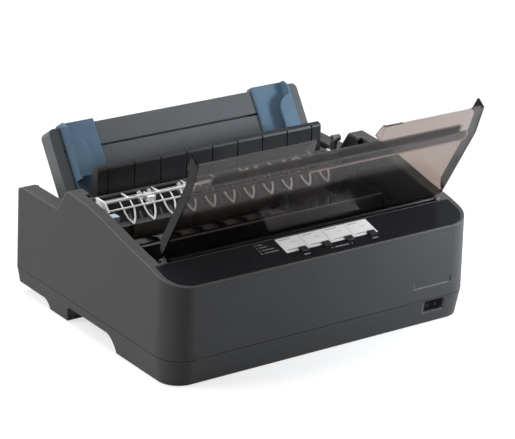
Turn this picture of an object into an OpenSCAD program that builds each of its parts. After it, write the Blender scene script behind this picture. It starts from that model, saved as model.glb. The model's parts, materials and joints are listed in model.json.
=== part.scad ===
// Desktop dot matrix printer: moulded case, smoked cover standing open, tilting sheet guide
// and the printing mechanism inside. Millimetres. X to the right, Y to the back, Z up,
// origin at ground level in the middle of the outline, with the cover open and the knob on.
// Sizes below are drawn about the middle of the case, and placed() puts them in that frame.

/* [Case] */
// Width of the case from side to side
body_w = 350; // [348:0.5:353]
// Depth of the case from front to back
body_d = 275; // [274:0.5:278]
// Height of the line where the upper and lower case meet
part_z = 26.7; // [26.3:0.1:27.2]
// Height of the front edge of the upper case
front_z = 98; // [97:0.25:98.5]
// Slope of the control panel, in degrees
panel_tilt = 15.6; // [15.2:0.1:16]
// Height of the shelf behind the notch in each side wall
shelf_z = 110.5; // [110:0.25:111.5]
// Wall thickness of the mouldings
wall = 2.8; // [2.4:0.1:3.2]
// Corner radius at the front, seen from above
corner_f = 26; // [24:0.5:28]
// Inward lean of the lower case from its top edge to the ground
low_lean = 4.4; // [3.8:0.1:5]

/* [Cover] */
// Rim of the case beside each end of the smoked cover
cover_side = 13; // [12.8:0.1:14]
// Length of the main face of the cover, hinge edge to crease
cover_len = 88.4; // [87:0.2:89]
// Length of the lip above the crease
cover_lip = 29.5; // [27:0.5:30]
// Thickness of the smoked sheet
cover_t = 2.2; // [2:0.1:2.6]
// Height of the hinge line of the cover above the back edge of the panel
cover_rise = 1.3; // [0.9:0.1:1.7]

/* [Sheet guide] */
// Rim of the case beside the rear well
rear_side = 17.5; // [17:0.25:18]
// Gap between each end of the sheet guide and the side of the rear well
guide_gap = 10.5; // [9.5:0.25:12]
// Length of the sheet guide from its pivot to its top edge
guide_len = 69.3; // [67:0.5:71]
// Backward lean of the sheet guide, in degrees
guide_lean = 34; // [32:0.5:35]
// Width of each blue edge guide
edge_w = 38; // [36:0.5:40]

/* [Mechanism] */
// Radius of the platen roller
platen_r = 15; // [14.5:0.1:15.2]
// Height of the platen axis
platen_z = 90; // [89.6:0.1:90.4]
// Radius of the platen shaft
shaft_r = 4; // [3.5:0.1:4.5]
// Radius of the rod that the carriage runs on
rod_r = 6; // [5:0.25:6.5]
// Radial play of the shafts in their bearings
play = 0.08; // [0.05:0.01:0.1]
// Gear module, pitch diameter over teeth
gear_m = 1; // [0.98:0.01:1]
// Radius of the platen knob
knob_r = 17; // [15:0.5:18]
// Fingers on the tension unit
finger_n = 11; // [10:1:12]
// Segments of the paper separator
comb_n = 8; // [6:1:9]

/* [Panel] */
// Width of each key cap on the control panel
key_w = 8; // [7:0.25:8.5]
// Travel of a key cap
key_travel = 0.8; // [0.6:0.1:1]
// Width of one label window on the control panel
label_w = 26.5; // [25:0.25:27]
// Width of the power rocker
rocker_w = 20; // [18.5:0.25:20.5]

/* [Hidden] */
$fn = 64;
hx = body_w / 2;
hy = body_d / 2;
eps = 0.01;
panel_end = -hy + 38.3;
panel_len = (panel_end + hy) / cos(panel_tilt);
panel_z = front_z + (panel_end + hy) * tan(panel_tilt);
cover_hw = hx - cover_side;
cover_hy = panel_end + 3.2;
cover_hz = panel_z + cover_rise;
cover_open = 120.1;
cover_barrel = 2.4;
knuckle_out = cover_hw - 1.6;
knuckle_in = cover_hw - 6.4;
open_hw = cover_hw + 0.6;
rear_hw = hx - rear_side;
step_y = 29.4;
guide_hw = rear_hw - guide_gap;
guide_y = hy - 43.5;
guide_z = 102;
platen_y = 36;
rod_y = -12;
rod_z = 66;
side_t = 1.6;
side_x = rear_hw - 16.5;
frame_x = side_x - side_t / 2;
motor_y = 40;
motor_z = 40;
tractor_y = hy - 35.5;
tractor_z = 66;
bar_y = 80;
bar_z = 58;
z_platen = 40;
z_feed = 26;
z_pinion = 12;
z_link = 30;
z_tractor = 42;
gear_x = -side_x - 11;
gear_w = 5;
key_s = 16;
label_x = -38.2;
rocker_x = hx - 47;
rocker_z = part_z - 7.3;
edge_lx = -guide_hw + 14;
edge_rx = guide_hw - 17 - edge_w;
carriage_x = side_x - 66;
belt_z = 42;
window_pitch = (side_x - 5) / 4;
belt_y = -20;
pulley_r = 7;
pulley_x = side_x - 23;
motor_end = -side_x + 23;
roller_hw = side_x - 28;
unit_hw = side_x - 6;
tray_hw = side_x - 21;
rest_x = side_x - 29;
spindle_x = -tray_hw + 25;
spindle_y = -66;
tractor_lx = -side_x + 31;
tractor_rx = side_x - 41;
wheel_y = 45.5;
wheel_z = 112.5;
foot_x = hx - 35;
rear_foot_x = hx - 15.4;
socket_x = -hx + 67;
inlet_x = hx - 57;
inlet_z = 42;
unit_x = hx - 77;
board_x = -hx + 25;
board_w = hx - 87 - board_x;
finger_y = 30;
finger_z = 110.6;
finger_slope = 51;
finger_pitch = 2 * (side_x - 15.6) / finger_n;
strut_pitch = finger_pitch / 2;
lip_a = -11.3;
lip_y = 5.5 + cover_len + cover_lip * cos(lip_a);
lip_z = -0.5 + cover_lip * sin(lip_a);
cap_back = 6.5;
knob_out = 12;
// Furthest reach of the open cover to the front and of the raised sheet guide to the back.
front_reach = cover_hy + lip_y * cos(cover_open) - lip_z * sin(cover_open);
back_reach = guide_y + guide_len * sin(guide_lean) + cap_back * cos(guide_lean);
middle_x = knob_out / 2;
middle_y = (front_reach + back_reach) / 2;

// Meeting point of two gears that both mesh with gears at fixed centres.
function span(a, b) = sqrt(pow(b[0] - a[0], 2) + pow(b[1] - a[1], 2));
function between(a, b, ra, rb, side) =
    let (d = span(a, b),
         u = [(b[0] - a[0]) / d, (b[1] - a[1]) / d],
         k = (ra * ra - rb * rb + d * d) / (2 * d),
         h = side * sqrt(ra * ra - k * k))
    [a[0] + k * u[0] - h * u[1], a[1] + k * u[1] + h * u[0]];
function heading(a, b) = atan2(b[1] - a[1], b[0] - a[0]);
// Turn of the second gear that puts its tooth gaps on the teeth of the first.
function mesh_turn(turn, za, zb, dir) = dir + 180 - (za / zb) * (turn - dir) - 180 / zb;

platen_c = [platen_y, platen_z];
motor_c = [motor_y, motor_z];
tractor_c = [tractor_y, tractor_z];
feed_c = between(platen_c, motor_c,
                 gear_m * (z_platen + z_feed) / 2, gear_m * (z_feed + z_pinion) / 2, -1);
link_c = between(platen_c, tractor_c,
                 gear_m * (z_platen + z_link) / 2, gear_m * (z_link + z_tractor) / 2, -1);
feed_turn = mesh_turn(0, z_platen, z_feed, heading(platen_c, feed_c));
pinion_turn = mesh_turn(feed_turn, z_feed, z_pinion, heading(feed_c, motor_c));
link_turn = mesh_turn(0, z_platen, z_link, heading(platen_c, link_c));
tractor_turn = mesh_turn(link_turn, z_link, z_tractor, heading(link_c, tractor_c));

// ---- helpers ----

// Moves a piece that is drawn about the middle of the case to the frame of the whole part.
module placed() {
    translate([-middle_x, -middle_y, 0]) children();
}

// Outline in Y and Z drawn along X, centred on x.
module along_x(length, x = 0) {
    translate([x, 0, 0]) rotate([90, 0, 90])
        linear_extrude(height = length, center = true) children();
}

// Box given by its lowest and highest corner.
module block(lo, hi) {
    translate(lo) cube([hi[0] - lo[0], hi[1] - lo[1], hi[2] - lo[2]]);
}

// Cylinder along X between two positions.
module rod_x(r, x0, x1, y, z) {
    translate([x0, y, z]) rotate([0, 90, 0]) cylinder(r = r, h = x1 - x0);
}

// Cylinder along Y between two positions.
module rod_y_dir(r, y0, y1, x, z) {
    translate([x, y1, z]) rotate([90, 0, 0]) cylinder(r = r, h = y1 - y0);
}

// Box with rounded upright corners whose four sides lean inward together: in0 at z0, in1 at z1.
module leaning_box(z0, z1, in0, in1, inset = 0) {
    rf = corner_f;
    rr = 6;
    ax = hx - inset;
    ay = hy - inset;
    cf = max(rf - inset, 4);
    cr = max(rr - inset, in0 + 0.8);
    a0 = in0;
    a1 = in1;
    rotate([90, 0, 0]) translate([0, 0, -(ay - cr)]) linear_extrude(height = 2 * ay - cr - cf)
        polygon([[-ax + a0, z0], [ax - a0, z0], [ax - a1, z1], [-ax + a1, z1]]);
    along_x(2 * (ax - cf)) polygon([[-ay + a0, z0], [0, z0], [0, z1], [-ay + a1, z1]]);
    along_x(2 * (ax - cr)) polygon([[-1, z0], [ay - a0, z0], [ay - a1, z1], [-1, z1]]);
    for (s = [-1, 1]) {
        translate([s * (ax - cf), -(ay - cf), z0]) cylinder(r1 = cf - a0, r2 = cf - a1, h = z1 - z0);
        translate([s * (ax - cr), ay - cr, z0]) cylinder(r1 = cr - a0, r2 = cr - a1, h = z1 - z0);
    }
}

// Side view of the upper case in Y and Z, lowered by drop for the inside of the moulding.
module side_view(drop = 0) {
    difference() {
        translate([0, -drop]) polygon([
            [-hy - 2, part_z - 6], [hy + 2, part_z - 6], [hy + 2, shelf_z],
            [62.5, shelf_z], [60.2, shelf_z + 0.8], [58.6, shelf_z + 2.6],
            [46.4, 131.6], [45, 133.2], [43, 133.8],
            [7.5, 131.5], [-14, 127.5], [-67, 114.9], [panel_end, panel_z],
            [-hy + 1.6, front_z + 0.1], [-hy + 0.45, front_z - 0.6], [-hy - 0.05, front_z - 1.8],
            [-hy - 2, front_z - 1.8]
        ]);
        translate([hy - 12.5, shelf_z - 12.5 - drop]) difference() {
            square([20, 20]);
            circle(r = 12.5);
        }
    }
}

// Frame of the sloped control panel: x across, y up the slope, z out of it.
module on_panel() {
    translate([0, -hy, front_z]) rotate([panel_tilt, 0, 0]) children();
}

// Frame of the cover: y from the hinge toward the lip, z out of the face.
module on_cover() {
    translate([0, cover_hy, cover_hz]) rotate([cover_open, 0, 0]) children();
}

// Frame of the sheet guide: y up the slope from the pivot, z out of its front.
module on_guide() {
    translate([0, guide_y, guide_z]) rotate([90 - guide_lean, 0, 0]) children();
}

// Flat spur gear in Y and Z, thickness along X.
module gear(teeth, c, turn, x0, w) {
    r = gear_m * teeth / 2;
    root = r - 1.15 * gear_m;
    tip = r + 0.9 * gear_m;
    half = 360 / teeth / 4;
    translate([x0, c[0], c[1]]) rotate([90, 0, 90]) linear_extrude(height = w) union() {
        circle(r = root);
        for (i = [0:teeth - 1]) {
            rotate([0, 0, turn + i * 360 / teeth]) polygon([
                [root - 0.4, -root * sin(half * 1.25)], [r, -r * sin(half * 0.88)],
                [tip, -tip * sin(half * 0.42)], [tip, tip * sin(half * 0.42)],
                [r, r * sin(half * 0.88)], [root - 0.4, root * sin(half * 1.25)]
            ]);
        }
    }
}

// ---- case ----

module underside_view() {
    // what is cut away below the lower case, seen from the side
    polygon([
        [-41, -1], [-40.6, 4], [-38.6, 8.5], [-36.5, 12], [-33.5, 15.2], [-29, 17.5], [14, 17.5],
        [39, 17.5], [42, 15.5], [43, 12.5], [45, 6], [46, -1]
    ]);
    polygon([[77, -1], [79, 5], [82, 9], [86, 10.4], [hy + 1, 10.4], [hy + 1, -1]]);
}

module lower_case() {
    color("#54534f") placed() difference() {
        leaning_box(0.8, part_z, low_lean, 0);
        along_x(body_w + 2) underside_view();
        // inside of the tray, stepped with its floor
        intersection() {
            leaning_box(4.2, part_z + 1, low_lean * 0.87, 0, wall);
            union() {
                block([-hx, -hy, 4.2], [hx, -44, part_z + 1]);
                block([-hx, -44.5, 20.5], [hx, hy, part_z + 1]);
            }
        }
        // middle of the belly behind the front rest and between the two rear rests
        block([-hx + 27, 44, -1], [hx - 27, 80, 13]);
        // pockets for the rubber pads
        for (s = [-1, 1]) {
            translate([s * foot_x, -hy + 25.5, 0.5]) cylinder(r = 8.2, h = 2.1);
            translate([s * rear_foot_x, 61, 0.5]) cylinder(r = 7.2, h = 2.1);
        }
        // opening for the power rocker with its bevelled frame
        block([rocker_x - 11.4, -hy - 1, rocker_z - 7], [rocker_x + 14, -hy + 8, rocker_z + 6.4]);
        // cooling slots through the belly
        for (i = [0:8]) {
            block([-60 + i * 15, -hy + 17.5, -1], [-54 + i * 15, -hy + 67.5, 6]);
        }
        // rear cut for the sockets
        block([socket_x - 4, hy - 8, 23.9], [socket_x + 96, hy + 1, part_z + 1]);
    }
}

// Room inside the upper moulding, between its walls and under its top faces.
module upper_room() {
    intersection() {
        leaning_box(part_z - 1, 142, 0, 1.6, wall);
        along_x(body_w + 2) side_view(wall + 0.2);
    }
}

module upper_case() {
    color("#5a5956") placed() difference() {
        union() {
            difference() {
                intersection() {
                    leaning_box(part_z + 0.35, 142, 0, 1.6);
                    along_x(body_w + 2) side_view();
                }
                upper_room();
                // opening under the cover and the wider well behind it
                block([-open_hw, panel_end, 60], [open_hw, step_y, 150]);
                block([-rear_hw, step_y - 1, 59], [rear_hw, hy - wall - 0.5, 150]);
                // way in for fan-fold paper through the back
                block([-rear_hw + 7.5, hy - 8, 62], [rear_hw - 7.5, hy + 2, 150]);
            }
            // knuckles that hold the cover
            for (s = [-1, 1]) {
                rod_x(cover_barrel, s > 0 ? knuckle_in : -knuckle_out, s > 0 ? knuckle_out : -knuckle_in,
                      cover_hy, cover_hz);
                block([s > 0 ? knuckle_in : -knuckle_out, panel_end - 0.4, panel_z - 4],
                      [s > 0 ? knuckle_out : -knuckle_in, cover_hy + 1.2, cover_hz]);
            }
        }
        // bed of the control panel
        on_panel() translate([0, 0, -1.3]) linear_extrude(height = 4) panel_outline(0.12);
        // holes for the key stems
        for (i = [0:3]) {
            on_panel() translate([key_x(i) - 2.5, key_s - 2.5, -8]) cube([5, 5, 8]);
        }
        // cover pin holes
        for (s = [-1, 1]) {
            rod_x(1.5 + play, s > 0 ? knuckle_in - 1 : -knuckle_out - 1,
                  s > 0 ? knuckle_out + 1 : -knuckle_in + 1, cover_hy, cover_hz);
        }
        // shaft of the platen passes to the knob
        rod_x(shaft_r + 1.5, rear_hw - 7.5, hx + 2, platen_y, platen_z);
        // bare recess of the badge
        block([hx - 72, -hy - 1, 40.4], [hx - 27.6, -hy + 0.75, 47]);
        // rear cuts for the sockets and the inlet
        block([socket_x - 2, hy - 6, part_z - 1], [socket_x + 94, hy + 2, 46]);
        block([inlet_x - 14.4, hy - 6, part_z - 1], [inlet_x + 14.4, hy + 2, inlet_z + 11.4]);
    }
}

// Skirts that hang from the inner edge of the top band, with the bearings of the sheet guide.
module well_skirt() {
    t = 2.4;
    color("#55544f") placed() difference() {
        intersection() {
            upper_room();
            union() {
                for (s = [-1, 1]) {
                    block([s > 0 ? open_hw : -open_hw - t, panel_end, 66],
                          [s > 0 ? open_hw + t : -open_hw, step_y + t, 145]);
                    block([s > 0 ? rear_hw : -rear_hw - t, step_y, 60],
                          [s > 0 ? rear_hw + t : -rear_hw, hy - 4, 145]);
                    block([s > 0 ? rear_hw : -open_hw - t, step_y, 66],
                          [s > 0 ? open_hw + t : -rear_hw, step_y + t, 145]);
                    // bearing blocks for the pins of the sheet guide
                    rod_x(7, s > 0 ? rear_hw : -rear_hw - 6, s > 0 ? rear_hw + 6 : -rear_hw,
                          guide_y, guide_z - 1);
                    // ledges that the closed cover comes down on
                    block([s > 0 ? open_hw - 4.6 : -open_hw - 1, 8, 104],
                          [s > 0 ? open_hw + 1 : -open_hw + 4.6, 24, 117]);
                }
                block([-open_hw - t, panel_end - t, 92], [open_hw + t, panel_end, 145]);
            }
        }
        block([-rear_hw, step_y + eps, 59], [rear_hw, hy, 150]);
        for (s = [-1, 1]) {
            block([s > 0 ? knuckle_in - 0.2 : -knuckle_out - 0.2, panel_end - 1, panel_z - 4.2],
                  [s > 0 ? knuckle_out + 0.2 : -knuckle_in + 0.2, panel_end + 1, panel_z + 10]);
            rod_x(3 + play, s > 0 ? rear_hw - 1 : -rear_hw - 5, s > 0 ? rear_hw + 5 : -rear_hw + 1,
                  guide_y, guide_z);
        }
        rod_x(shaft_r + 1.5, rear_hw - 7.5, hx + 2, platen_y, platen_z);
    }
}

module feet() {
    color("#1d1d1d") placed() for (s = [-1, 1]) {
        translate([s * foot_x, -hy + 25.5, 0]) cylinder(r = 8, h = 2.6);
        translate([s * rear_foot_x, 61, 0]) cylinder(r = 7, h = 2.6);
    }
}

// ---- control panel ----

function key_x(i) = label_x + (i + 1) * label_w - 7.6;

module panel_outline(grow = 0) {
    hw = hx - 6 + grow;
    s0 = 2.6 - grow;
    s1 = panel_len - 0.7 + grow;
    r = 23 + grow;
    difference() {
        translate([-hw, s0]) square([2 * hw, s1 - s0]);
        for (m = [-1, 1]) {
            difference() {
                translate([m > 0 ? hw - r : -hw - 1, s0 - 1]) square([r + 1, r + 1]);
                translate([m * (hw - r), s0 + r]) circle(r = r);
            }
        }
    }
}

module control_panel() {
    color("#22252a") placed() on_panel() difference() {
        translate([0, 0, -1.3]) linear_extrude(height = 1.15) panel_outline();
        for (i = [0:3]) {
            translate([key_x(i) - key_w / 2 - 0.25, key_s - 3.75, -2]) cube([key_w + 0.5, 7.5, 3]);
        }
        // shallow bed of the label windows
        translate([label_x - 0.4, key_s + 0.2, -0.55]) cube([4 * label_w + 0.8, 22.2, 1]);
        for (i = [0:3]) {
            translate([label_x - 23.8, key_s + 7 + i * 4.2, -2]) cylinder(r = 1.1, h = 3);
        }
    }
}

module label_windows() {
    color("#c9cdd0") placed() on_panel() for (i = [0:3]) {
        difference() {
            translate([label_x + i * label_w + 0.3, key_s + 0.6, -0.55]) cube([label_w - 0.6, 21.2, 0.5]);
            translate([key_x(i) - key_w / 2 - 0.5, key_s - 1, -1]) cube([key_w + 1, 5, 2]);
        }
    }
}

module lamps() {
    color("#8fb58c") placed() on_panel() for (i = [0:3]) {
        translate([label_x - 23.8, key_s + 7 + i * 4.2, -1.3]) cylinder(r = 1, h = 1.4);
    }
}

module key(i) {
    // underside of the cap, which stays clear of its bed when it is pressed
    z0 = key_travel - 1;
    color("#33363b") placed() on_panel() union() {
        translate([key_x(i) - key_w / 2, key_s - 3.5, z0]) cube([key_w, 7, 1.5]);
        translate([key_x(i) - key_w / 2 + 0.8, key_s - 2.7, z0 + 1.5]) cube([key_w - 1.6, 5.4, 0.3]);
        translate([key_x(i) - 2, key_s - 2, -6]) cube([4, 4, z0 + 6.2]);
    }
}

module key_1() key(0);
module key_2() key(1);
module key_3() key(2);
module key_4() key(3);

// Outer face of the lower case at height z, which leans back toward the ground.
function lean_y(z) = -hy + low_lean * (part_z - z) / (part_z - 0.8);

module switch_bezel() {
    y0 = lean_y(rocker_z) + 0.2;
    z0 = rocker_z - 6.8;
    z1 = rocker_z + 6.3;
    color("#3a3b3d") placed() difference() {
        along_x(25, rocker_x + 1.3) polygon([
            [lean_y(z0) + 0.2, z0], [lean_y(z1) + 0.2, z1], [y0 + 6.4, z1], [y0 + 6.4, z0]
        ]);
        block([rocker_x - rocker_w / 2 - 0.3, y0 + 1, rocker_z - 5.6],
              [rocker_x + rocker_w / 2 + 0.3, y0 + 8, rocker_z + 5.6]);
        // bevel that opens toward the front
        translate([rocker_x, 0, 0]) linear_extrude_z(rocker_z - 5.6, rocker_z + 5.6) polygon([
            [-rocker_w / 2 - 0.3, y0 + 4], [-rocker_w / 2 - 0.3, y0 - 3], [12.6, y0 - 3],
            [12.6, y0 + 0.4], [rocker_w / 2 + 0.3, y0 + 4]
        ]);
        // pivots
        rod_y_pivot();
    }
}

module linear_extrude_z(z0, z1) {
    translate([0, 0, z0]) linear_extrude(height = z1 - z0) children();
}

module rod_y_pivot() {
    translate([rocker_x, -hy + 5, rocker_z - 6.5]) cylinder(r = 0.8 + play, h = 13);
}

module power_rocker() {
    color("#101112") placed() union() {
        // cap with two faces that meet in a shallow angle above the pivot
        translate([rocker_x, 0, rocker_z - 5]) linear_extrude(height = 10) polygon([
            [-rocker_w / 2 + 0.6, -hy + 2.6], [-2, -hy + 3.4], [rocker_w / 2 - 0.6, -hy + 1.4],
            [rocker_w / 2 - 0.6, -hy + 4], [4, -hy + 6.6], [-4, -hy + 6.6],
            [-rocker_w / 2 + 0.6, -hy + 5]
        ]);
        translate([rocker_x, -hy + 5, rocker_z - 6.2]) cylinder(r = 0.8, h = 12.4);
    }
}

// ---- cover ----

module cover() {
    f = -0.5;
    barrel_hw = knuckle_in - 0.4;
    y1 = 5.5 + cover_len;
    ly = lip_y - y1;
    lz = lip_z - f;
    color("#4b423b") placed() on_cover() difference() {
        union() {
            // main face and lip as one bent sheet
            along_x(2 * cover_hw) polygon([
                [1, f], [y1, f], [y1 + ly, f + lz], [y1 + ly, f + lz - cover_t],
                [y1 - 0.2, f - cover_t], [1, f - cover_t]
            ]);
            // rolled hinge edge
            rod_x(cover_barrel, -barrel_hw, barrel_hw, 0, 0);
            // side returns
            for (s = [-1, 1]) {
                along_x(2, s * (cover_hw - 1)) polygon([
                    [12, f - 0.4], [y1, f - 0.4], [y1 + ly, f + lz - 0.4], [y1 + ly, f + lz - 8.6],
                    [y1 - 1, f - 9], [20, f - 9], [12, f - 4]
                ]);
                // catches behind the top corners
                along_x(2, s * (cover_hw - 1)) polygon([
                    [y1 + ly - 15, f + lz + 2], [y1 + ly, f + lz - 1], [y1 + ly + 1.2, f + lz - 10.4],
                    [y1 + ly - 13, f + lz - 10.4]
                ]);
            }
            // stiffening step under the crease
            along_x(2 * cover_hw - 16) polygon([
                [y1 - 11, f - 1], [y1 - 0.5, f - 1], [y1 - 0.5, f - 5.6], [y1 - 10, f - 5.6]
            ]);
            // end walls of the notch in the lip
            for (x = [-34, 45]) {
                along_x(2, x) polygon([
                    [y1 + ly - 17, f + lz + 2], [y1 + ly, f + lz - 1], [y1 + ly, f + lz - 3],
                    [y1 + ly - 17, f + lz - 6]
                ]);
            }
        }
        // rounded lower corners
        for (s = [-1, 1]) {
            translate([s * (cover_hw - 10), 12, -12]) difference() {
                translate([s > 0 ? 0 : -12, -13, 0]) cube([12, 13, 20]);
                cylinder(r = 10, h = 20);
            }
        }
        // the corners above would reach the barrel ends: keep a clean gap to the knuckles
        for (s = [-1, 1]) {
            block([s > 0 ? barrel_hw : -cover_hw - 3, -4, -4], [s > 0 ? cover_hw + 3 : -barrel_hw, 3.4, 4]);
        }
        // notch in the middle of the lip
        block([-33, y1 + ly - 16, -20], [44, y1 + ly + 4, 4]);
        // bores for the hinge pins
        rod_x(1.5, -barrel_hw - 1, -barrel_hw + 12, 0, 0);
        rod_x(1.5, barrel_hw - 12, barrel_hw + 1, 0, 0);
    }
    color("#8d8f92") placed() on_cover() for (s = [-1, 1]) {
        rod_x(1.5, s > 0 ? barrel_hw - 12 : -knuckle_out + 0.4,
              s > 0 ? knuckle_out - 0.4 : -barrel_hw + 12, 0, 0);
    }
}

// ---- sheet guide ----

module sheet_guide() {
    g = guide_len;
    rib_pitch = (guide_hw - 3) / 3;
    color("#5d5f61") placed() on_guide() difference() {
        union() {
            // plate that the sheets lean on
            block([-guide_hw + 6, -5, 5.6], [guide_hw - 6, g, 8.5]);
            // upper band stands slightly proud of the slot
            block([-guide_hw + 8, g - 23, 6], [guide_hw - 8, g, 8.9]);
            // ribs on the back
            for (i = [-2:2]) {
                block([i * rib_pitch - 1, -4, -3.5], [i * rib_pitch + 1, g - 3, 6]);
            }
            block([-guide_hw + 8, -5, -3.5], [guide_hw - 8, -3, 6]);
            block([-guide_hw + 8, 18, -2], [guide_hw - 8, 20, 6]);
            block([-guide_hw + 8, g - 2.4, -3.5], [guide_hw - 8, g, 8.9]);
            // back wall of the channel in which the clips of the edge guides run
            block([-guide_hw + 8, g - 31, 0.4], [guide_hw - 8, g - 19, 1.6]);
            // end caps with rounded shoulders
            for (s = [-1, 1]) {
                intersection() {
                    along_x(11, s * (guide_hw - 5.5)) union() {
                        circle(r = cap_back);
                        polygon([[-3, 0], [0, -cap_back], [g, -cap_back], [g, 10.5], [0, 10.5], [-3, 9]]);
                    }
                    translate([s > 0 ? guide_hw - 11 : -guide_hw, -7, -7])
                        linear_extrude(height = 18) union() {
                        square([11, g + 7 - 6]);
                        translate([s > 0 ? 0 : 6, 0]) square([5, g + 7]);
                        translate([s > 0 ? 5 : 6, g + 7 - 6]) circle(r = 6);
                    }
                }
                rod_x(3, s > 0 ? guide_hw - 4 : -rear_hw - 3.6,
                      s > 0 ? rear_hw + 3.6 : -guide_hw + 4, 0, 0);
            }
        }
        // slot in which the edge guides slide, and the room of their clips behind it
        block([-guide_hw + 12, g - 25.2, 1.6], [guide_hw - 12, g - 23, 12]);
        block([-guide_hw + 12, g - 29.4, 1.6], [guide_hw - 12, g - 22.6, 5.6]);
        // groove around each end cap, seen from the front
        for (s = [-1, 1]) {
            block([s > 0 ? guide_hw - 12.4 : -guide_hw + 11, 2, 7.2],
                  [s > 0 ? guide_hw - 11 : -guide_hw + 12.4, g - 2, 12]);
        }
    }
}

module edge_guide(x0, outer) {
    g = guide_len;
    // drawn with its outer wall at x = 0, then mirrored for the right side
    color("#5f7d96") placed() on_guide() translate([outer > 0 ? x0 + edge_w : x0, 0, 0])
            mirror([outer > 0 ? 1 : 0, 0, 0]) union() {
        difference() {
            block([0, -1, 9.3], [edge_w, g + 3, 11.6]);
            translate([edge_w - 1.2, -2, 11]) cube([2, g + 6, 2]);
        }
        // lip over the top edge of the sheet guide
        block([0, g + 0.8, 2.5], [edge_w, g + 3, 9.4]);
        // outer wall
        difference() {
            block([0, 14, 9.4], [2.2, g + 3, 22]);
            translate([-1, g + 3, 22]) rotate([0, 90, 0]) cylinder(r = 6, h = 4, $fn = 4);
        }
        // hooked flange that keeps the sheet edges down
        translate([0, 16, 19.8]) linear_extrude(height = 2.2) union() {
            square([17, 24]);
            intersection() {
                translate([0, 24]) circle(r = 17);
                translate([0, 24]) square([17, 17]);
            }
        }
        // tongue in the slot and the clip behind it
        block([6, g - 24.9, 2.6], [edge_w - 6, g - 23.3, 9.6]);
        block([8, g - 28.6, 2.6], [edge_w - 8, g - 23.3, 4.8]);
    }
}

module edge_guide_left() edge_guide(edge_lx, -1);
module edge_guide_right() edge_guide(edge_rx, 1);

// ---- paper path ----

module separator() {
    pitch = 2 * (side_x - 21) / comb_n;
    half = side_x - 9.5;
    color("#2b2c2e") placed() difference() {
        union() {
            along_x(2 * half) polygon([
                [57.4, 112], [57.4, 141.6], [58.4, 143.6], [63, 145], [65, 143.6], [70, 124], [76, 112]
            ]);
            // carrier that rests on the side frames
            along_x(2 * side_x + 5) polygon([[57.4, 110], [57.4, 112.6], [80, 112.6], [80, 111], [78, 110]]);
        }
        // joints between the segments
        for (i = [0:comb_n]) {
            x = (i - comb_n / 2) * pitch;
            block([x - 0.6, 55, 114], [x + 0.6, 59, 150]);
            block([x - 0.6, 55, 142.2], [x + 0.6, 80, 150]);
        }
        // hollow behind each segment
        for (i = [0:comb_n - 1]) {
            x = (i + 0.5 - comb_n / 2) * pitch;
            along_x(pitch - 4, x) polygon([[61, 108], [61, 136], [64.6, 136], [71, 113], [72.4, 108]]);
        }
    }
}

module paper_chute() {
    w = 2 * frame_x;
    rib_pitch = (side_x - 11) / 5;
    color("#232426") placed() union() {
        along_x(w) polygon([[85.4, 97], [86.6, 95.8], [59, 77.6], [57.4, 78.9]]);
        along_x(w) polygon([
            [68, 67.2], [68, 65.6], [50, 64.4], [24, 67.4], [21.6, 73], [23, 74], [25.6, 69], [50, 66]
        ]);
        for (x = [-w / 2 + 1, w / 2 - 1]) {
            along_x(2, x) polygon([[50, 65], [56, 65.2], [62, 79.5], [59, 78.6]]);
        }
        // ribs that lead the sheets round
        for (i = [-4:4]) {
            along_x(1.4, i * rib_pitch) polygon([[66, 65.8], [50, 64.6], [25, 68], [34, 72.4], [50, 68.6]]);
        }
    }
}

// ---- frames ----

module side_frame(s) {
    along_x(side_t, s * side_x) difference() {
        polygon([
            [-40, 20.5], [tractor_y + 20, 20.5], [tractor_y + 20, 76], [tractor_y + 10, 84],
            [90, 84], [82, 92], [80, 110],
            [52, 110], [49, 107.5], [20, 107.5], [8, 99], [-28, 99], [-34, 99], [-40, 92]
        ]);
        translate(platen_c) circle(r = shaft_r + play);
        translate([rod_y, rod_z]) circle(r = rod_r);
        translate(tractor_c) circle(r = 3 + play);
        translate([bar_y, bar_z]) circle(r = 3);
        if (s < 0) translate(motor_c) circle(r = 9);
        // lightening windows
        translate([96, 28]) square([18, 20]);
        translate([-32, 30]) square([26, 22]);
        translate([s < 0 ? 64 : 20, 30]) square([s < 0 ? 18 : 36, s < 0 ? 12 : 24]);
    }
}

module side_frames() {
    color("#8b8e90") placed() union() {
        for (s = [-1, 1]) {
            side_frame(s);
            // bent feet
            block([s > 0 ? side_x - 12 : -side_x + 0.8, 60, 22.1],
                  [s > 0 ? side_x - 0.8 : -side_x + 12, 90, 23.7]);
        }
        // stub shafts of the two idlers
        for (c = [feed_c, link_c]) {
            rod_x(2.5, gear_x - 0.6, -side_x - 0.7, c[0], c[1]);
            rod_x(4, -side_x - 3.4, -side_x - 0.7, c[0], c[1]);
        }
        // stubs of the levers
        rod_x(3, -side_x - 5.4, -side_x - 0.7, 0, 84);
        rod_x(3, side_x + 0.7, side_x + 9, 62, 98);
        rod_x(4.5, side_x + 0.7, side_x + 4.6, 62, 98);
    }
}

module chassis() {
    color("#9a9c9d") placed() difference() {
        union() {
            block([-frame_x, -34.4, 20.5], [frame_x, tractor_y + 20, 22.1]);
            // brackets of the drive motor and the return pulley
            block([-frame_x, -16, 22], [-pulley_x + 20, -14.4, 57]);
            block([pulley_x - 12, -16, 22], [pulley_x + 12, -14.4, 54]);
            rod_y_dir(2, -25.4, -14.6, pulley_x, belt_z);
        }
        rod_y_dir(5, -17, -13, -pulley_x, belt_z);
        for (i = [-3:3]) {
            block([i * window_pitch - 12, 40, 20], [i * window_pitch + 12, 100, 23]);
        }
    }
}

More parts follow.
